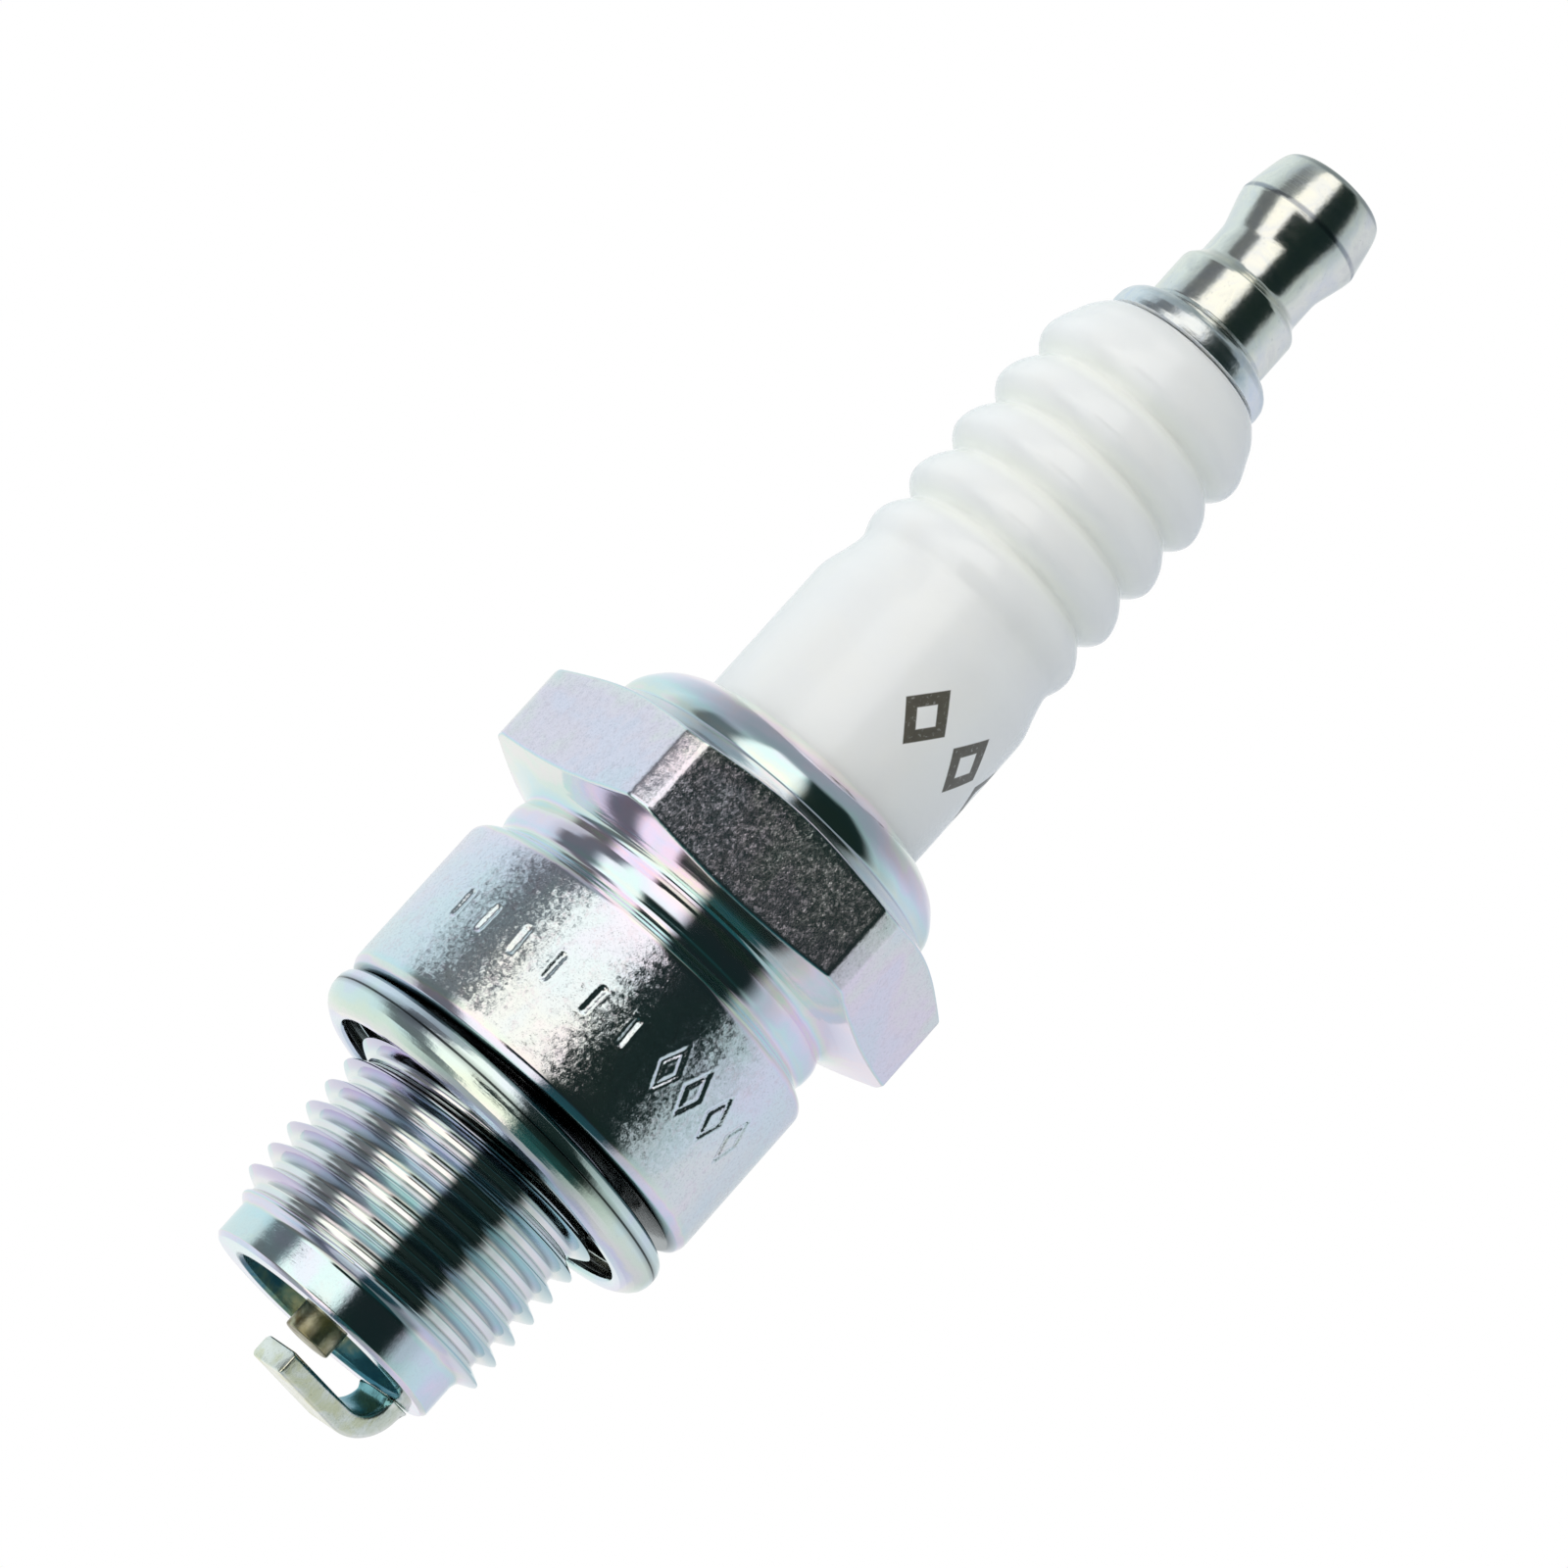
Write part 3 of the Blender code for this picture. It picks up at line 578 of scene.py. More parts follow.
def nickel(place, light, dark, stain, stain_amount, rough, inner=None):
    """Drawn nickel alloy, with a brownish bloom and drawing lines."""
    cloud = place.noise(scale=1.1, detail=4.0, roughness=0.6, distortion=0.4)
    colour = cloud.from_to(0.35, 0.65).mix(light, dark)
    bloom = place.noise(scale=0.8, detail=3.0, roughness=0.65, distortion=0.6)
    colour = bloom.from_to(0.46, 0.68, high=stain_amount).mix(colour, stain)
    fine = place.noise(scale=8.0, detail=3.0, roughness=0.6)
    colour = fine.from_to(0.58, 0.75, high=0.35).mix(colour, (0.30, 0.28, 0.22))
    if inner is not None:
        # painted teal shade on the side that faces the axis
        outwards = place.vector("MULTIPLY", (1.0, 1.0, 0.0)).vector("NORMALIZE")
        facing = place.normal().vector("DOT_PRODUCT", outwards)
        colour = facing.from_to(-0.15, -0.60, high=0.85).mix(colour, inner)
    along = place.vector("MULTIPLY", (5.0, 5.0, 1.0))
    drawing = along.noise(scale=1.3, detail=3.0, roughness=0.6)
    return {
        "Base Color": colour,
        "Metallic": 1.0,
        "Roughness": rough + cloud * 0.14,
        "Normal": (fine * 0.6 + drawing * 0.5).bump(distance=0.000014),
    }


def plain_finish(place, low, high, metal, rough, scale, relief):
    """Cloudy mix of two colours, for a piece inside the plug; relief is metres."""
    cloud = place.noise(scale=scale, detail=4.0, roughness=0.6, distortion=0.3)
    fine = place.noise(scale=scale * 4.0, detail=3.0, roughness=0.6)
    return {
        "Base Color": cloud.from_to(0.3, 0.7).mix(low, high),
        "Metallic": metal,
        "Roughness": rough + cloud * 0.15,
        "Normal": fine.bump(distance=relief),
    }


MATERIALS = {name: make_material(name, recipe, **settings) for name, recipe, settings in (
    ("shell_plating", shell_plating, {}),
    ("glazed_ceramic", glazed_ceramic, {}),
    ("terminal_plating", terminal_plating, {}),
    ("stud_steel", stud_steel, {}),
    ("gasket_metal", gasket_metal, {}),
    # the strap's side that faces the axis gets a painted teal shade
    ("strap_nickel", nickel, dict(
        light=(1.0, 0.985, 0.90), dark=(0.93, 0.91, 0.77), stain=(0.82, 0.78, 0.42),
        stain_amount=0.50, rough=0.16, inner=(0.12, 0.44, 0.48))),
    ("electrode_nickel", nickel, dict(
        light=(0.60, 0.56, 0.38), dark=(0.36, 0.32, 0.18), stain=(0.20, 0.13, 0.05),
        stain_amount=0.85, rough=0.26)),
    ("copper", plain_finish, dict(
        low=(0.78, 0.38, 0.24), high=(0.66, 0.30, 0.18),
        metal=1.0, rough=0.28, scale=2.0, relief=0.00002)),
    ("conductive_glass", plain_finish, dict(
        low=(0.10, 0.07, 0.06), high=(0.26, 0.17, 0.13),
        metal=0.0, rough=0.30, scale=3.0, relief=0.00003)),
    ("talc", plain_finish, dict(
        low=(0.84, 0.82, 0.78), high=(0.74, 0.72, 0.68),
        metal=0.0, rough=0.80, scale=4.0, relief=0.00004)),
    ("ring_steel", plain_finish, dict(
        low=(0.55, 0.56, 0.58), high=(0.38, 0.38, 0.40),
        metal=1.0, rough=0.30, scale=3.0, relief=0.00002)),
)}

# ---------------------------------------------------------------------------
# Metal shell
# ---------------------------------------------------------------------------
FLAT_R = 10.33          # axis to a flat of the hexagon
CORNER_R = 11.60        # the hexagon's corners are turned down to this
CORNER_SOFT = 0.05      # softening where flat meets turned corner
LOW_ROUND, HIGH_ROUND = 0.13, 0.20  # lower and upper edges of the flats
END_R = 6.05            # end ring below the thread
RELIEF_R = 6.12         # plain neck between thread and seat
BARREL_R = 9.635
BORE_R = 4.55
BORE_LOW, BORE_HIGH = -12.35, -4.9

PITCH = 1.25
PITCH_ROWS = 20
THREAD_LOW, THREAD_HIGH = -11.02, -1.45
CORE_R, MINOR_R, MAJOR_R = 6.04, 6.16, 6.97
THREAD_PHASE = 0.18     # turns

STROKE_Z, STROKE_HALF_W, STROKE_HALF_H, STROKE_EDGE = 4.50, 0.15, 0.72, 0.05
# angle in degrees, lean sideways per mm of height
STROKES = [(-147.3, 0.0), (-136.3, 0.05), (-124.3, -0.04), (-112.3, 0.0), (-98.8, 0.05),
           (-86.6, -0.03)]
LOZENGE_Z, LOZENGE_HALF_W, LOZENGE_HALF_H = 4.62, 0.60, 1.25
LOZENGES = (-72.0, -62.0, -51.0, -39.5)  # angles in degrees

# outlines, (radius, height)
UNDER_CONE = [(8.66, 10.86), (8.75, 11.00), (8.93, 11.16), (9.26, 11.36), (9.72, 11.56),
              (10.33, 11.75), (11.05, 11.92), (11.70, 12.06)]
OVER_CONE = [(11.70, 15.92), (11.20, 16.10), (10.60, 16.33), (10.10, 16.57), (9.60, 16.84),
             (9.05, 17.16), (8.80, 17.30)]
NECK = [(9.63, 8.02), (9.61, 8.18), (9.50, 8.40), (9.24, 8.60), (8.97, 8.76), (8.80, 8.93),
        (8.71, 9.12), (8.71, 9.30), (8.78, 9.50), (8.82, 9.80), (8.82, 10.15), (8.76, 10.42),
        (8.67, 10.66)] + UNDER_CONE[:4]
CRIMP = [(9.05, 17.16), (8.90, 17.24), (8.875, 17.32), (8.865, 17.60), (8.79, 17.95),
         (8.62, 18.32), (8.36, 18.69), (8.02, 19.08), (7.60, 19.40), (7.12, 19.66),
         (6.72, 19.83), (6.46, 19.90)]
INSIDE = [(6.62, 18.96), (7.00, 18.76), (7.15, 18.45), (7.15, 4.10), (5.15, 2.40),
          (5.15, -2.0), (4.15, -3.0), (4.15, -4.5), (4.35, -4.70), (BORE_R, BORE_HIGH)]
# outlines, (radius, height, corner rounding)
END_RING = [(BORE_R, BORE_LOW, 0), (BORE_R, -12.55, 0.05), (4.68, -REACH, 0.05),
            (5.86, -REACH, 0.08), (END_R, -12.50, 0.10), (END_R, THREAD_LOW, 0)]
SEAT_FACE = [(RELIEF_R, THREAD_HIGH + 0.02, 0), (RELIEF_R, 0.0, 0.15), (9.10, 0.0, 0.20),
             (9.47, 0.20, 0.20), (9.63, 0.55, 0.4), (9.63, 1.0, 0)]
CRIMP_LIP = [(6.46, 19.90, 0), (6.33, 19.86, 0.05), (6.32, 19.70, 0.1), (6.32, 19.02, 0)]


def shell_columns():
    """Column angles in degrees, from -152 once round.

    They lie close together on the front, where the stamped marks are, and at the other
    corners of the hexagon; wider apart elsewhere.
    """
    front = np.arange(-152.0, -12.0, 0.5)
    rest = np.arange(-12.0, 208.0, 2.5)
    near = 0.4 + 0.7 * np.arange(7)
    corners = np.arange(0, 240, 60)[:, None] + np.concatenate([-near, near])
    angles = np.unique(np.round(np.concatenate([front, rest, corners.ravel()]), 4))
    kept = [angles[0]]
    for angle in angles[1:]:
        if angle - kept[-1] > 0.3:
            kept.append(angle)
    return np.array(kept)


COLUMN_DEG = shell_columns()
COLUMN_RAD = np.radians(COLUMN_DEG)
COLUMNS = len(COLUMN_DEG)


def hexagon_radius():
    """The hexagon's radius at each column, with turned corners."""
    from_flat = (COLUMN_DEG + 90.0 + 30.0) % 60.0 - 30.0
    flat_r = FLAT_R / np.cos(np.radians(from_flat))
    turned = 0.5 + 0.5 * np.clip((flat_r - CORNER_R) / CORNER_SOFT, -1, 1)
    return flat_r * (1 - turned) + CORNER_R * turned - CORNER_SOFT * turned * (1 - turned)


def pressed(distance, depth, floor_at, ridge_at):
    """A dent where distance to its outline is negative, with a slightly raised edge."""
    ridge = 0.016 * np.exp(-((distance - ridge_at) / 0.07) ** 2)
    return -depth * smooth(0.05, floor_at, distance) + ridge


def stamped_relief(z):
    """Stamped marks round the barrel at one height: plain strokes, then lozenges."""
    relief = np.zeros(COLUMNS)
    mm_per_degree = math.pi / 180.0 * BARREL_R
    arc = COLUMN_DEG * mm_per_degree
    for centre, lean in STROKES:
        u = arc - centre * mm_per_degree - lean * (z - STROKE_Z)
        du = np.abs(u) - (STROKE_HALF_W - STROKE_EDGE)
        dv = abs(z - STROKE_Z) - (STROKE_HALF_H - STROKE_EDGE)
        outside = np.hypot(np.maximum(du, 0), np.maximum(dv, 0))
        distance = outside + np.minimum(np.maximum(du, dv), 0) - STROKE_EDGE
        relief += pressed(distance, depth=0.075, floor_at=-0.10, ridge_at=0.11)
    for centre in LOZENGES:
        u = np.abs(arc - centre * mm_per_degree) / LOZENGE_HALF_W
        v = abs(z - LOZENGE_Z) / LOZENGE_HALF_H
        # the mark is a line 0.15 wide along this lozenge
        distance = np.abs((u + v - 0.80) * LOZENGE_HALF_W * 0.75) - 0.075
        relief += pressed(distance, depth=0.085, floor_at=-0.07, ridge_at=0.10)
    return relief


def shell_thread():
    """Points, row count and colour masks of the thread, flat at both ends."""
    low, high = THREAD_LOW, THREAD_HIGH
    round_turn = (COLUMN_DEG - COLUMN_DEG[0]) / 360.0
    row_turns, z = helix_rows(low, high, PITCH, PITCH_ROWS, round_turn)
    turns = row_turns + THREAD_PHASE
    shape = np.maximum(thread_shape(turns, soft_root=0.06, soft_crest=0.11,
                                    root=0.27, crest=0.95), 0.0)
    fade = smooth(low + 0.05, low + 0.95, z) * smooth(high - 0.02, high - 0.42, z)
    base = CORE_R + (MINOR_R - CORE_R) * smooth(low, low + 0.6, z)
    radius = base + (MAJOR_R - base) * shape * fade
    ease = smooth(high, high - 0.3, z)
    radius = radius * ease + RELIEF_R * (1 - ease)

    # painted highlight on the broad roots; painted reflection tints on the crests and the flanks
    # near them
    u = np.mod(turns, 1.0)
    ends = smooth(low + 0.35, low + 1.0, z) * smooth(high - 0.1, high - 0.4, z)
    root = np.maximum(smooth(0.34, 0.20, u), smooth(0.84, 0.92, u))
    painted_crest_tint = smooth(0.20, 0.38, u) * (1.0 - 0.70 * smooth(0.54, 0.70, u)) * smooth(0.90, 0.80, u)
    # a fine painted shade line on the flank just before the root
    painted_root_shade_line = smooth(0.76, 0.81, u) * smooth(0.90, 0.85, u)
    # a painted shadow on the front where the thread runs out at the bottom
    painted_runout_shadow = (smooth(low + 0.10, low + 0.22, z) * smooth(low + 0.62, low + 0.40, z)
              * smooth(-128.0, -116.0, COLUMN_DEG) * smooth(-60.0, -68.0, COLUMN_DEG))
    masks = {"root": root * ends, "painted_crest_tint": painted_crest_tint * ends,
             "line": np.maximum(painted_root_shade_line * ends, painted_runout_shadow)}
    return ring_points(radius, z, COLUMN_RAD), len(z), masks


def shell_rows():
    """Rows of the turned parts, from the bottom rim up the outside and down the bore.

    Gives an array of radius, height and grain by row and column, and the number of rows
    below the thread.
    """
    rows = []

    def add_row(radius, z, grain):
        rows.append([np.broadcast_to(value, COLUMNS) for value in (radius, z, grain)])

    def add_profile(points, grain, first=()):
        """Adds rows; the first few may have their own grain."""
        for n, (radius, z) in enumerate(points):
            add_row(radius, z, first[n] if n < len(first) else grain)

    # bottom rim and end ring, up to the thread
    add_profile(refine(rounded(END_RING, 3), 0.5), 0.26)
    add_row(CORE_R, THREAD_LOW, 0.10)
    below_thread = len(rows)

    # relief, seat and barrel
    add_row(RELIEF_R, THREAD_HIGH, 0.10)
    add_profile(refine(rounded(SEAT_FACE, 5), 0.8)[1:-1], 0.25)
    for z in np.concatenate([np.arange(1.0, 3.0, 0.4), np.arange(3.0, 6.30, 0.085),
                             np.arange(6.4, 8.0, 0.4)]):
        add_row(BARREL_R + stamped_relief(z), z, 1.0)
    add_profile(spline(NECK, 0.08), 0.06, first=(0.9, 0.7, 0.45, 0.25))

    # hexagon: under-cone, flat, upper cone; the rows sit on the exact edges
    hex_r = hexagon_radius()
    under = np.array(spline(UNDER_CONE, 0.05))
    over = np.array(spline(OVER_CONE, 0.05)[::-1])

    def z_under(radius):
        return np.interp(radius, under[:, 0], under[:, 1])

    def z_over(radius):
        return np.interp(radius, over[:, 0], over[:, 1])

    cone_r, cone_top_r = UNDER_CONE[3][0], CRIMP[0][0]
    low_r, high_r = hex_r - LOW_ROUND, hex_r - HIGH_ROUND
    low_rise, high_rise = LOW_ROUND + 0.02, HIGH_ROUND * 0.85
    for t in (0.12, 0.28, 0.44, 0.58, 0.70, 0.80, 0.90, 0.97):
        radius = cone_r + (low_r - cone_r) * t
        add_row(radius, z_under(radius), 0.10)
    for t in np.linspace(0, 1, 6) * math.pi / 2:
        add_row(hex_r - LOW_ROUND * (1 - math.sin(t)),
                z_under(low_r) + low_rise * (1 - math.cos(t)), 0.45)
    flat_low, flat_high = z_under(low_r) + low_rise, z_over(high_r) - high_rise
    for t in np.linspace(0.02, 0.98, 16):
        add_row(hex_r, flat_low + (flat_high - flat_low) * t, 0.80)
    for t in np.linspace(0, 1, 7) * math.pi / 2:
        add_row(hex_r - HIGH_ROUND * (1 - math.cos(t)), flat_high + high_rise * math.sin(t), 0.6)
    for t in (0.10, 0.22, 0.34, 0.46, 0.58, 0.70, 0.80, 0.90):
        radius = high_r + (cone_top_r - high_r) * t
        add_row(radius, z_over(radius), 0.40 - 0.35 * t)

    # collar, crimp and its lip, then down the inside
    add_profile(spline(CRIMP, 0.12), 0.04, first=np.linspace(0.25, 0.05, 5))
    add_profile(rounded(CRIMP_LIP)[1:], 0.1)
    add_profile(INSIDE, 0.1)
    add_profile(refine([(BORE_R, BORE_HIGH), (BORE_R, BORE_LOW)], 1.0)[1:-1], 0.12)
    return np.array(rows), below_thread


def build_shell():
    rows, below_thread = shell_rows()
    radius, z, grain = rows[:, 0], rows[:, 1], rows[:, 2]
    # painted shade in the hollow round the seat: full on the seat face, partial on the relief
    shade = (smooth(9.60, 9.25, radius)
             * (0.40 * smooth(5.9, 6.0, radius) + 0.60 * smooth(6.2, 6.7, radius))
             * smooth(-1.46, -1.20, z) * smooth(0.32, 0.10, z))
    turned = ring_points(radius, z, COLUMN_RAD)
    faces = grid_faces(len(rows), COLUMNS, wrap_rows=True)
    # the thread is its own grid and takes the place of one ring of faces
    del faces[(below_thread - 1) * COLUMNS:below_thread * COLUMNS]
    thread, thread_rows, masks = shell_thread()
    faces += helix_faces(thread_rows, COLUMNS, PITCH_ROWS, offset=len(turned))

    attributes = {
        "grain": np.concatenate([grain.ravel(), np.full(len(thread), 0.08)]),
        "shade": np.concatenate([shade.ravel(), np.zeros(len(thread))]),
    }
    for name, mask in masks.items():
        attributes[name] = np.concatenate([np.zeros(len(turned)), mask.ravel()])
    add_surface("metal_shell", "shell_plating", np.concatenate([turned, thread]), faces,
                sharp=50.0, attributes=attributes, merge=6e-7)


build_shell()

# ---------------------------------------------------------------------------
# Insulator
# ---------------------------------------------------------------------------
CERAMIC_TOP = 46.0
CERAMIC_DOME = [(3.95, CERAMIC_TOP), (4.36, 45.85), (4.74, 45.45), (5.04, 45.00),
                (5.28, 44.45), (5.50, 43.95), (5.65, 43.50), (5.68, 43.10), (5.60, 42.78),
                (5.38, 42.48), (5.14, 42.24), (5.00, 42.06), (4.97, 41.92)]
RIB_TOPS = (42.0, 39.0, 36.0)
# one rib, heights from its top
RIB = [(5.03, -0.20), (5.20, -0.40), (5.40, -0.68), (5.58, -0.98), (5.73, -1.38), (5.80, -1.76),
       (5.78, -2.04), (5.65, -2.30), (5.40, -2.56), (5.14, -2.78), (5.00, -2.94), (4.97, -3.07)]
# the lowest rib and the shoulder that widens into the plain body
CERAMIC_SHOULDER = [
    (5.04, 32.78), (5.23, 32.56), (5.45, 32.26), (5.63, 31.96), (5.75, 31.62), (5.785, 31.28),
    (5.73, 30.92), (5.61, 30.58), (5.51, 30.30), (5.49, 30.06), (5.53, 29.78), (5.64, 29.30),
    (5.78, 28.78), (5.90, 28.40), (6.00, 28.00), (6.045, 27.60), (CERAMIC_R, 27.20)]
CERAMIC_SEAT_R = 4.90
CERAMIC_BORE_R, CERAMIC_NOSE_BORE_R = 2.05, 1.36


def build_insulator():
    ribs = [(radius, top + z) for top in RIB_TOPS for radius, z in RIB]
    # a 45 degree cone leads down to the start of the nose
    offset = 0.50 * math.sqrt(0.5)
    nose = (4.15 - offset, -3.0 + offset)
    profile = [(2.23, CERAMIC_TOP)]
    profile += refine([(2.6, CERAMIC_TOP), CERAMIC_DOME[0]], 0.8)[:-1]
    profile += spline(CERAMIC_DOME + ribs + CERAMIC_SHOULDER, 0.13)
    profile += refine([(CERAMIC_R, 27.2), (CERAMIC_R, 13.9)], 1.0)[1:]
    profile += [(6.95, 13.0), (6.95, 4.6), (CERAMIC_SEAT_R, 2.9),
                (CERAMIC_SEAT_R, nose[1] + CERAMIC_SEAT_R - nose[0]), nose]
    profile += refine(rounded([(*nose, 0), (2.35, -11.55, 0.15), (2.05, -11.90, 0.15),
                               (1.48, -11.90, 0.05), (CERAMIC_NOSE_BORE_R, -11.76, 0)], 3),
                      0.8)[1:]
    profile += [(CERAMIC_NOSE_BORE_R, 0.30), (CERAMIC_BORE_R, 1.00), (CERAMIC_BORE_R, 45.82)]
    points, faces = lathe(profile, 224)
    z = points[:, 2] - SEAT
    radius = np.hypot(points[:, 0], points[:, 1])
    # the grooves between the ribs, where the glaze gets a painted greenish shade and a faint
    # painted glow
    groove = smooth(5.72, 5.00, radius) * smooth(29.0, 31.5, z) * smooth(44.2, 42.6, z)
    add_surface("insulator", "glazed_ceramic", points, faces, sharp=60.0,
                attributes={"groove": groove})


build_insulator()

# ---------------------------------------------------------------------------
# Terminal stud with its M4 thread
# ---------------------------------------------------------------------------
STUD_COLUMNS = 96
STUD_PITCH, STUD_PITCH_ROWS = 0.70, 16
STUD_LOW, STUD_HIGH = 47.75, 53.62  # ends of the thread
STUD_END_R, STUD_MINOR_R, STUD_MAJOR_R = 1.50, 1.58, 1.94
STUD_GRIP_R, STUD_SHANK_R = 1.62, 1.80
GRIP_GROOVES, GRIP_PITCH = 3, 0.50
# (radius, height, corner rounding)
STUD_FLANGE = [(STUD_SHANK_R, 46.03, 0), (4.06, 46.03, 0.06), (4.22, 46.10, 0.1),
               (4.26, 46.40, 0.5), (4.22, 46.82, 0.5), (4.10, 47.08, 0.5), (3.88, 47.32, 0.5),
               (3.60, 47.50, 0.4), (3.36, 47.62, 0.15), (STUD_END_R, 47.64, 0.05),
               (STUD_END_R, STUD_LOW, 0)]
STUD_TIP = [(STUD_END_R, STUD_HIGH, 0), (STUD_END_R, 53.72, 0.06), (1.28, 53.90, 0.06),
            (0.0, 53.90, 0)]


def build_stud():
    angles = even_angles(STUD_COLUMNS)
    below = [(0.0, 6.40), (1.40, 6.40), (STUD_GRIP_R, 6.62)]
    for n in range(GRIP_GROOVES):
        z = 8.20 - 0.25 - GRIP_PITCH * (GRIP_GROOVES - 1 - n)
        below += [(STUD_GRIP_R, z - 0.37), (1.48, z - 0.25), (1.48, z - 0.12), (STUD_GRIP_R, z)]
    below += [(STUD_GRIP_R, 8.38), (STUD_SHANK_R, 8.60)]
    below += refine([(STUD_SHANK_R, 8.60), (STUD_SHANK_R, 46.10)], 3.0)[1:-1]
    below += rounded(STUD_FLANGE, 5)
    above = rounded(STUD_TIP, 3)

    row_turns, z = helix_rows(STUD_LOW, STUD_HIGH, STUD_PITCH, STUD_PITCH_ROWS, angles / TAU)
    shape = thread_shape(row_turns, soft_root=0.07, soft_crest=0.07, root=0.20, crest=0.86)
    fade = smooth(STUD_LOW, STUD_LOW + 0.4, z) * smooth(STUD_HIGH, STUD_HIGH - 0.45, z)
    thread_r = STUD_MINOR_R + (STUD_MAJOR_R - STUD_MINOR_R) * shape
    radius = STUD_END_R + (thread_r - STUD_END_R) * fade

    points = np.concatenate([profile_points(below, angles), ring_points(radius, z, angles),
                             profile_points(above, angles)])
    thread_at = len(below) * STUD_COLUMNS
    above_at = thread_at + len(z) * STUD_COLUMNS
    faces = grid_faces(len(below), STUD_COLUMNS)
    faces += helix_faces(len(z), STUD_COLUMNS, STUD_PITCH_ROWS, offset=thread_at)
    faces += grid_faces(len(above), STUD_COLUMNS, offset=above_at)
    add_surface("terminal_stud", "stud_steel", points, faces, sharp=50.0, merge=6e-7)


build_stud()

# ---------------------------------------------------------------------------
# Terminal nut
# ---------------------------------------------------------------------------
NUT_WAIST_R, NUT_BORE_R = 2.75, 2.12
NUT_HEAD = [(2.22, 57.14), (2.50, 57.06), (2.68, 56.92), (2.80, 56.72), (2.90, 56.40),
            (3.02, 55.85), (3.12, 55.30), (3.21, 54.80), (3.27, 54.48)]
NUT_UNDER_HEAD = [(3.265, 54.40), (3.20, 54.05), (3.07, 53.58), (2.93, 53.08), (2.81, 52.66),
                  (2.76, 52.34), (NUT_WAIST_R, 52.00)]
NUT_FLARE = [(NUT_WAIST_R, 50.98), (2.78, 50.76), (2.89, 50.55), (3.04, 50.38), (3.17, 50.22)]
# (radius, height, corner rounding)
NUT_SKIRT = [(3.20, 50.16, 0), (3.24, 50.02, 0.08), (3.24, 47.86, 0.06), (3.10, 47.72, 0.05),
             (2.28, 47.72, 0.05), (NUT_BORE_R, 47.88, 0)]


def build_nut():
    profile = [(0.0, 57.15), (2.05, 57.15)]
    profile += spline(NUT_HEAD, 0.10) + spline(NUT_UNDER_HEAD, 0.10)
    profile += [(NUT_WAIST_R, 51.4)]
    profile += spline(NUT_FLARE, 0.06) + rounded(NUT_SKIRT, 3)
    profile += [(NUT_BORE_R, 50.0), (NUT_BORE_R, 52.5), (NUT_BORE_R, 54.6), (0.0, 55.6)]
    points, faces = lathe(profile, 192, closed=False)
    add_surface("terminal_nut", "terminal_plating", points, faces, sharp=30.0, body="nut_body")


build_nut()

# ---------------------------------------------------------------------------
# Gasket: one folded strip of sheet, slightly tilted on its clearance
# ---------------------------------------------------------------------------
GASKET_TILT = 2.1    # degrees
GASKET_SEAM_Z = -1.175
# (radius, height, corner rounding), a closed outline
GASKET_SECTION = [
    (7.06, -0.35, 0.08), (8.95, -0.35, 0.3), (9.30, -0.42, 0.2), (9.53, -0.62, 0.2),
    (9.635, -0.88, 0.2), (9.650, -1.13, 0.03), (9.575, GASKET_SEAM_Z, 0.01),
    (9.650, -1.22, 0.03), (9.62, -1.48, 0.2), (9.50, -1.78, 0.25), (9.28, -2.04, 0.25),
    (9.00, -2.25, 0.25), (8.72, -2.40, 0.15), (8.42, -2.42, 0.10), (8.21, -2.36, 0.08),
    (8.15, -2.20, 0.08), (8.24, -2.02, 0.08), (8.50, -1.89, 0.2), (8.88, -1.72, 0.2),
    (9.06, -1.50, 0.15), (9.06, -1.16, 0.15), (8.84, -0.93, 0.15), (7.16, -0.91, 0.08),
    (7.06, -0.80, 0.04)]


def build_gasket():
    section = rounded(GASKET_SECTION)
    section = np.array(refine(section + [section[0]], 0.35)[:-1])
    angles = even_angles(256)
    radius, z = section[:, :1], section[:, 1:]
    # pressed sheet: slightly uneven fold, never outside the turned section
    radius = radius - 0.012 * (1 + np.sin(angles * 3 + 0.6)) * smooth(8.6, 9.6, radius)
    points = ring_points(radius, z, angles)
    faces = grid_faces(len(section), 256, wrap_rows=True)

    # painted shade where the fold is tucked in and along the seam
    tucked = np.maximum(smooth(9.22, 8.95, radius) * smooth(-0.70, -0.50, z),
                        smooth(9.10, 8.90, radius) * smooth(-2.02, -1.88, z))
    seam = smooth(0.10, 0.03, np.abs(z - GASKET_SEAM_Z)) * smooth(9.45, 9.55, radius)
    shade = np.maximum(tucked, 0.8 * seam).ravel()

    azimuth = math.radians(VIEW_AZIMUTH)
    across = points[:, 0] * math.cos(azimuth) + points[:, 1] * math.sin(azimuth)
    points[:, 2] -= across * math.tan(math.radians(GASKET_TILT))
    add_surface("gasket", "gasket_metal", points, faces, sharp=60.0, body="gasket_body",
                attributes={"shade": shade})


build_gasket()

# ---------------------------------------------------------------------------
# Centre electrode, hollow for its copper core
# ---------------------------------------------------------------------------
CENTRE_R, CENTRE_BORE_R, CENTRE_HEAD_R = 1.18, 0.66, 1.84
CENTRE_TIP = -13.55


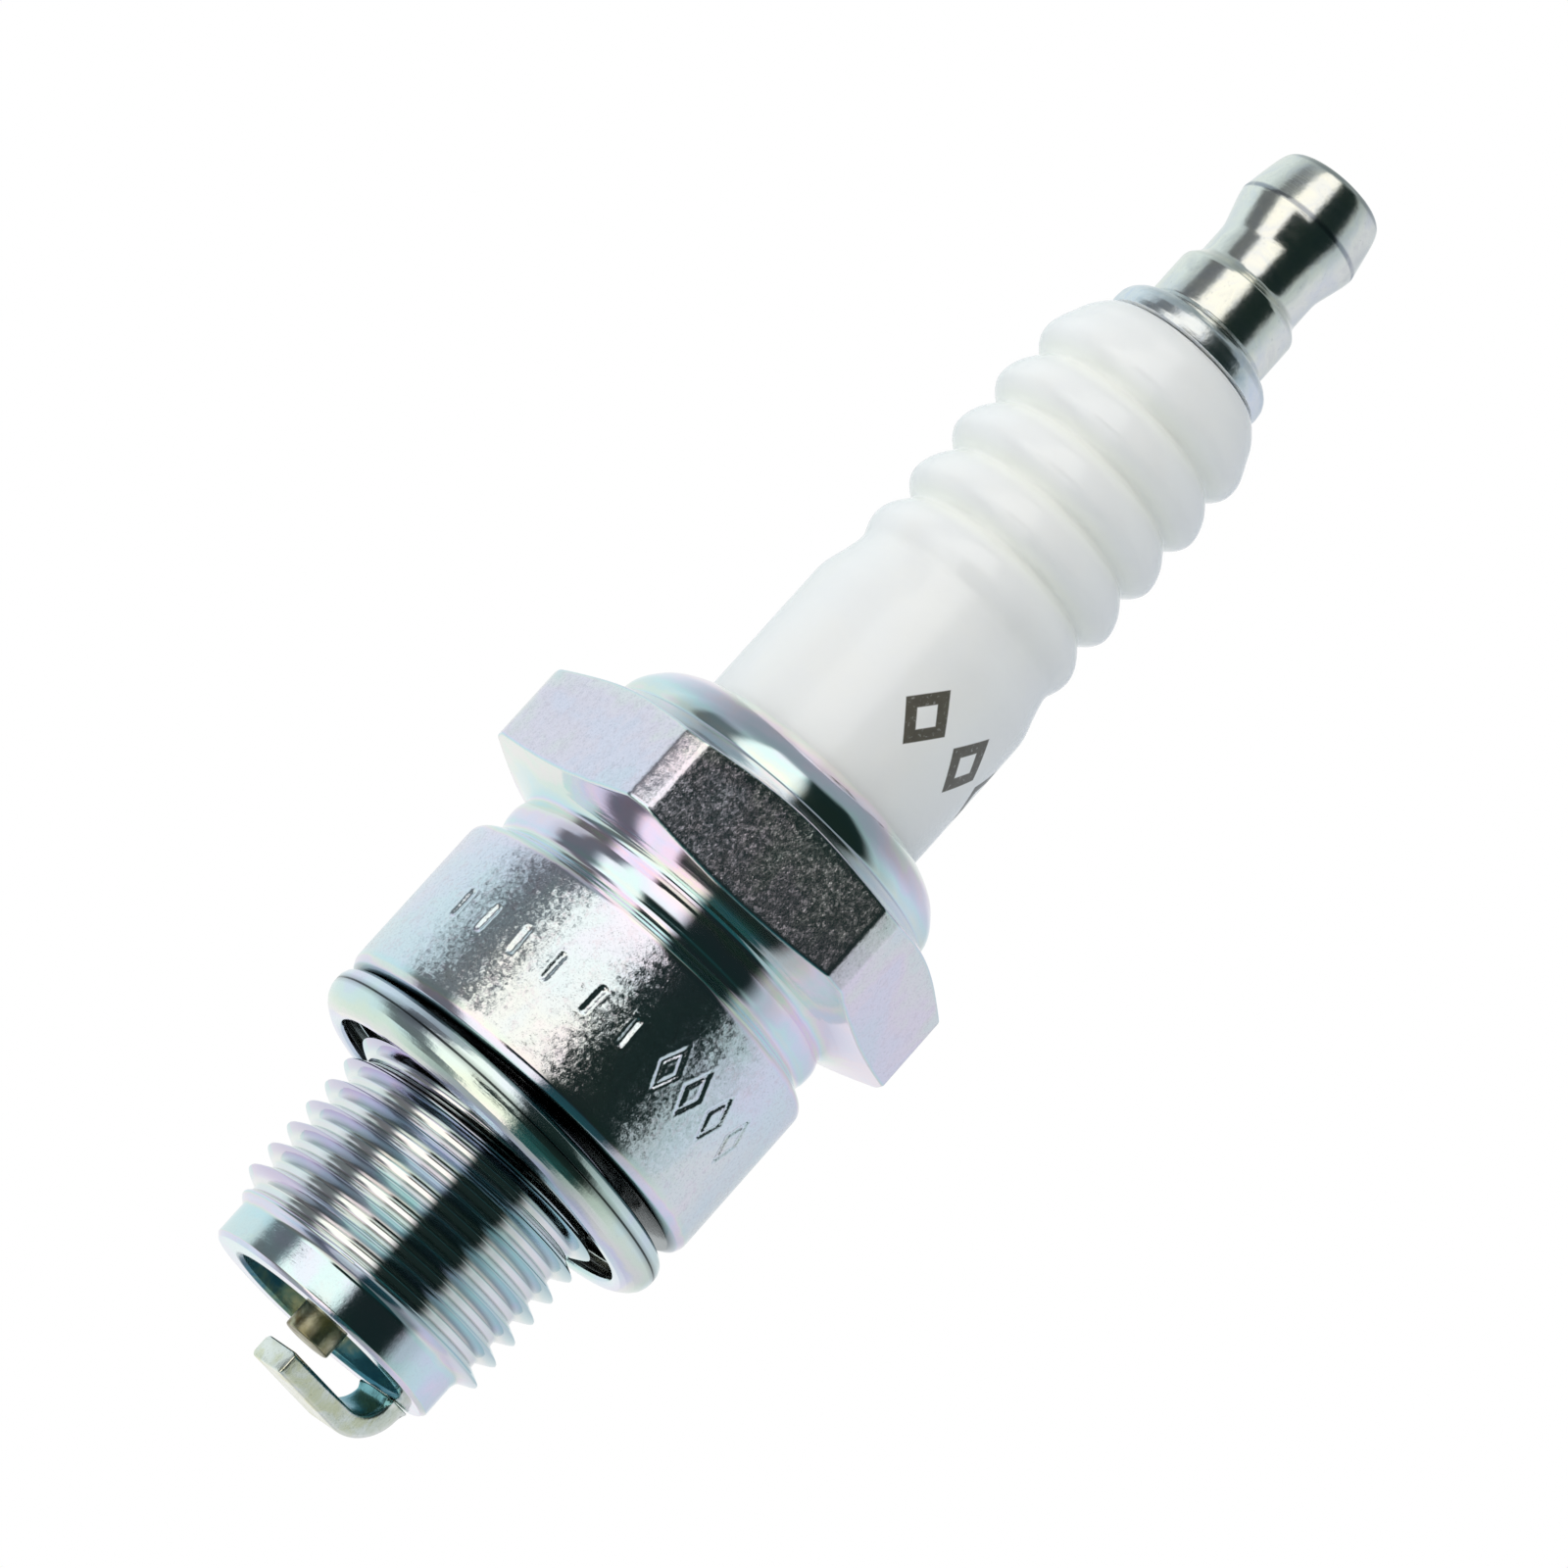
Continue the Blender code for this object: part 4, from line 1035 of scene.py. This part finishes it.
def build_centre_electrode():
    profile = [(0.0, -10.60), (CENTRE_BORE_R, -10.30), (CENTRE_BORE_R, 1.94), (0.72, 2.00),
               (1.72, 2.00), (CENTRE_HEAD_R, 1.88), (CENTRE_HEAD_R, 1.25), (CENTRE_R, 0.58)]
    profile += refine([(CENTRE_R, 0.58), (CENTRE_R, -11.4)], 1.5)[1:]
    profile += rounded([(CENTRE_R, -11.5, 0), (CENTRE_R, CENTRE_TIP, 0.10), (0.0, CENTRE_TIP, 0)])
    points, faces = lathe(profile, 96, closed=False)
    add_surface("centre_electrode", "electrode_nickel", points, faces, sharp=40.0)


build_centre_electrode()

# ---------------------------------------------------------------------------
# Ground electrode: a rolled strap swept down from the rim and round the bend.
# It is laid out in the XZ plane, then turned about the axis.
# ---------------------------------------------------------------------------
STRAP_WIDTH, STRAP_THICK, STRAP_EDGE = 2.5, 1.15, 0.26
STRAP_TOP = -14.35       # upper face of the level arm
STRAP_BEND = 1.30        # inner radius of the bend
STRAP_FOOT_R = 5.30      # axis to the middle of the foot
STRAP_PAST = 0.85        # how far the tip reaches past the axis
STRAP_ANGLE = math.radians(32.0)
# height, inset of the section, flare out where it is welded to the rim
STRAP_FOOT = [(-12.74, 0.05, 1.0), (-12.80, 0.0, 1.0), (-12.88, 0.0, 0.75),
              (-12.97, 0.0, 0.40), (-13.10, 0.0, 0.12)]
TIP_ROUND = 0.09
STRAP_TIP = [(0.045, 0.012), (0.075, 0.04), (TIP_ROUND, 0.085)]  # distance on, inset


def strap_section(count=5):
    """Rounded rectangle as (across, outwards) points."""
    half_w, half_t, edge = STRAP_WIDTH / 2, STRAP_THICK / 2, STRAP_EDGE
    arcs = []
    for side_x, side_y, start in ((1, 1, 0), (-1, 1, 90), (-1, -1, 180), (1, -1, 270)):
        for k in range(count + 1):
            a = math.radians(start + 90.0 * k / count)
            arcs.append((side_x * (half_w - edge) + edge * math.cos(a),
                         side_y * (half_t - edge) + edge * math.sin(a)))
    out = []
    for (x0, y0), (x1, y1) in zip(arcs, arcs[1:] + arcs[:1]):
        n = max(1, int(math.hypot(x1 - x0, y1 - y0) / 0.3))
        for k in range(n):
            out.append((x0 + (x1 - x0) * k / n, y0 + (y1 - y0) * k / n))
    return np.array(out)


def strap_stations():
    """Stations (x, z, angle turned, inset, flare) from the foot to the tip."""
    bend_r = STRAP_BEND + STRAP_THICK / 2
    arm_z = STRAP_TOP - STRAP_THICK / 2
    centre_x, centre_z = STRAP_FOOT_R - bend_r, arm_z + bend_r
    stations = [(STRAP_FOOT_R, z, 0.0, inset, flare) for z, inset, flare in STRAP_FOOT]
    for a in np.radians(np.linspace(0, 90, 19)[1:]):
        stations.append((centre_x + bend_r * math.cos(a), centre_z - bend_r * math.sin(a),
                         a, 0.0, 0.0))
    end_x = -STRAP_PAST + TIP_ROUND
    for t in np.linspace(0, 1, 9)[1:]:
        stations.append((centre_x + (end_x - centre_x) * t, arm_z, math.pi / 2, 0.0, 0.0))
    for onward, inset in STRAP_TIP:
        stations.append((end_x - onward, arm_z, math.pi / 2, inset, 0.0))
    return stations


def build_ground_electrode():
    section = strap_section()
    across, outwards = section.T
    half_w, half_t = STRAP_WIDTH / 2, STRAP_THICK / 2
    count = len(section)
    n = np.arange(count)
    stations = strap_stations()
    rings = []
    for x, z, turned, inset, flare in stations:
        lump = flare * (0.10 + 0.07 * np.sin(n * 1.7 + 0.4) + 0.05 * np.sin(n * 0.61 + z * 9.0))
        u_share = np.minimum(1.0, np.abs(across) / half_w * 1.2)
        v_share = np.minimum(1.0, np.abs(outwards) / half_t)
        u = across * (1 - inset / half_w) + np.copysign(lump, across) * u_share
        v = outwards * (1 - inset / half_t) + np.copysign(lump * 0.8, outwards) * v_share
        rings.append(np.stack([x + v * math.cos(turned), u, z - v * math.sin(turned)], 1))
    points = np.concatenate(rings)
    faces = grid_faces(len(stations), count)
    faces.append(tuple(range(count))[::-1])
    faces.append(tuple(range(len(points) - count, len(points))))
    cos, sin = math.cos(STRAP_ANGLE), math.sin(STRAP_ANGLE)
    points[:, :2] = points[:, :2] @ np.array([[cos, -sin], [sin, cos]]).T
    points[:, 2] += SEAT
    add_surface("ground_electrode", "strap_nickel", points, faces, sharp=50.0)


build_ground_electrode()

# ---------------------------------------------------------------------------
# CAD nodes that stay: the pieces inside
# ---------------------------------------------------------------------------
for node_name, slot_name in (
    ("copper_core", "copper"),
    ("glass_seal", "conductive_glass"),
    ("talc_fill", "talc"),
    ("upper_packing_ring", "ring_steel"),
    ("lower_packing_ring", "ring_steel"),
    ("inner_seat_washer", "ring_steel"),
):
    inner_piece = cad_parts[node_name]
    inner_piece.data.materials.clear()
    inner_piece.data.materials.append(MATERIALS[slot_name])

# ---------------------------------------------------------------------------
# Camera, in front and a little below, rolled so that the plug lies across the frame
# ---------------------------------------------------------------------------
VIEW_ELEVATION = -12.3   # degrees
VIEW_ROLL = 48.13        # degrees
VIEW_DISTANCE = 0.300    # metres
AIM_HEIGHT = 19.21       # mm above the seat
AIM_LEFT = 0.000680      # metres towards the view's left

azimuth, elevation = math.radians(VIEW_AZIMUTH), math.radians(VIEW_ELEVATION)
scene = bpy.context.scene
# level axes of the view: to its right, towards the camera, and up
view_right = Vector((math.cos(azimuth), math.sin(azimuth), 0.0))
view_back = Vector((math.sin(azimuth) * math.cos(elevation),
                    -math.cos(azimuth) * math.cos(elevation), math.sin(elevation)))
view_up = view_back.cross(view_right)


def add_camera():
    roll = math.radians(VIEW_ROLL)
    right = view_up * math.cos(roll) + view_right * math.sin(roll)
    up = view_up * math.sin(roll) - view_right * math.cos(roll)
    target = Vector((0.0, 0.0, (SEAT + AIM_HEIGHT) * MM)) - view_right * AIM_LEFT
    data = bpy.data.cameras.new("camera")
    data.lens = 154.24
    data.sensor_width = 36.0
    data.clip_start = 0.01
    data.clip_end = 20.0
    camera = bpy.data.objects.new("camera", data)
    scene.collection.objects.link(camera)
    axes = Matrix((right, up, view_back)).transposed().to_4x4()
    camera.matrix_world = Matrix.Translation(target + view_back * VIEW_DISTANCE) @ axes
    scene.camera = camera


add_camera()

# ---------------------------------------------------------------------------
# Studio: a surround with a soft box and cards, soft light and a pale floor
# ---------------------------------------------------------------------------
scene.view_settings.view_transform = "Standard"
scene.view_settings.look = "None"


def build_world():
    """The surround seen in reflections; the camera itself sees plain white."""
    world = bpy.data.worlds.new("studio")
    scene.world = world
    direction = clear_tree(world, "Generated").vector("NORMALIZE")
    z = direction.components()[2]
    towards_camera = (math.sin(azimuth), -math.cos(azimuth), 0.0)
    along_right = direction.vector("DOT_PRODUCT", tuple(view_right))
    along_front = direction.vector("DOT_PRODUCT", towards_camera)
    # degrees: side is 0 towards the camera and positive to its right; rise is elevation
    side = along_right.math("ARCTAN2", along_front) * RAD_TO_DEG
    rise = z.math("ARCSINE") * RAD_TO_DEG

    wall = side.from_to(-180.0, 180.0, kind="LINEAR").ramp([
        (0.000, (0.90, 0.92, 0.92)), (0.070, (0.76, 0.84, 0.86)), (0.194, (0.71, 0.82, 0.87)),
        (0.250, (0.48, 0.56, 0.60)), (0.300, (0.42, 0.48, 0.52)), (0.420, (0.70, 0.74, 0.74)),
        (0.550, (0.73, 0.76, 0.76)), (0.700, (0.46, 0.54, 0.56)), (0.750, (0.62, 0.68, 0.74)),
        (0.805, (0.65, 0.69, 0.78)), (0.930, (0.59, 0.64, 0.70)), (1.000, (0.90, 0.92, 0.92)),
    ])
    # darker overhead and underfoot
    sky = rise.from_to(25.0, 68.0, high=0.95).mix(wall, (0.27, 0.32, 0.33))
    sky = rise.from_to(-42.0, -70.0, high=0.80).mix(sky, (0.24, 0.31, 0.35))

    # soft box to the left; its left edge steps sideways lower down
    side_low = side + rise.from_to(8.9, 7.1, high=14.0)
    soft_box = side_low.from_to(-52.0, -40.0) * side.from_to(2.0, -8.0)
    soft_box = soft_box * rise.band(rise=(-84.0, -76.0), fall=(62.0, 74.0))
    sky = soft_box.mix(sky, (1.09, 1.09, 1.05))

    # dark card to the right, with a low strip that reaches further left
    dark_card = (side.band(rise=(-2.0, 6.0), fall=(52.0, 70.0))
                 * rise.band(rise=(-120.0, -100.0), fall=(64.0, 76.0)))
    dark_strip = (side.band(rise=(-31.0, -24.0), fall=(52.0, 70.0))
                  * rise.band(rise=(-36.0, -30.0), fall=(-5.0, 1.0)))
    dark = rise.from_to(-18.0, -50.0).mix((0.009, 0.019, 0.018), (0.018, 0.080, 0.090))
    sky = dark_card.math("MAXIMUM", dark_strip).mix(sky, dark)

    # grey card beyond the soft box's left edge
    grey_card = (side_low.band(rise=(-88.0, -77.0), fall=(-55.0, -44.0))
                 * rise.band(rise=(-70.0, -50.0), fall=(30.0, 50.0)))
    sky = (grey_card * 0.88).mix(sky, (0.10, 0.11, 0.12))

    picked = sky.node("ShaderNodeMixShader", 0, {
        0: sky.node("ShaderNodeLightPath", "Is Camera Ray"),
        1: sky.node("ShaderNodeBackground", 0, {"Color": sky}),
        2: sky.node("ShaderNodeBackground", 0, {"Color": (1.0, 1.0, 1.0)}),
    })
    add_node(sky.tree, "ShaderNodeOutputWorld", {"Surface": picked})


def add_lamp(name, direction, strength, angle, colour=(1, 1, 1)):
    """A soft sun that lights matt surfaces; mirrors see only the surround."""
    data = bpy.data.lights.new(name, "SUN")
    data.energy = strength
    data.angle = math.radians(angle)
    data.color = colour
    lamp = bpy.data.objects.new(name, data)
    scene.collection.objects.link(lamp)
    lamp.rotation_mode = "QUATERNION"
    lamp.rotation_quaternion = Vector(direction).normalized().to_track_quat("Z", "Y")
    lamp.visible_glossy = False


def build_floor():
    """A pale disc just under the plug, fading out into the white surround.

    It is clear from below, because the camera looks up at the plug's end.
    """
    bpy.ops.mesh.primitive_circle_add(vertices=128, radius=1.2, fill_type="NGON",
                                      location=(0, 0, -0.00005))
    floor = bpy.context.object
    floor.name = "floor"
    material = bpy.data.materials.new("floor")
    place = clear_tree(material, "Object")
    tone = place.noise(scale=14.0, detail=3.0)
    matt = place.node("ShaderNodeBsdfPrincipled", 0, {
        "Base Color": tone.mix((0.93, 0.928, 0.92), (0.95, 0.948, 0.94)),
        "Roughness": 0.85,
        "Specular IOR Level": 0.1,
    })
    far = place.vector("LENGTH").from_to(0.12, 0.75)
    below = place.node("ShaderNodeNewGeometry", "Backfacing")
    surface = place.node("ShaderNodeMixShader", 0, {
        0: below.math("MAXIMUM", far),
        1: matt,
        2: place.node("ShaderNodeBsdfTransparent"),
    })
    add_node(place.tree, "ShaderNodeOutputMaterial", {"Surface": surface})
    floor.data.materials.append(material)
    floor.visible_glossy = False


build_world()
add_lamp("key", view_back * 0.80 - view_right * 0.85 + Vector((0, 0, 0.30)),
         strength=1.37, angle=70.0, colour=(1.0, 0.985, 0.97))
add_lamp("top", (0.15, 0.1, 1.0), strength=0.34, angle=100.0)
add_lamp("fill", view_back * 0.6 + view_right * 0.9 + Vector((0, 0, 0.3)),
         strength=0.45, angle=120.0, colour=(1.0, 0.975, 0.955))
build_floor()
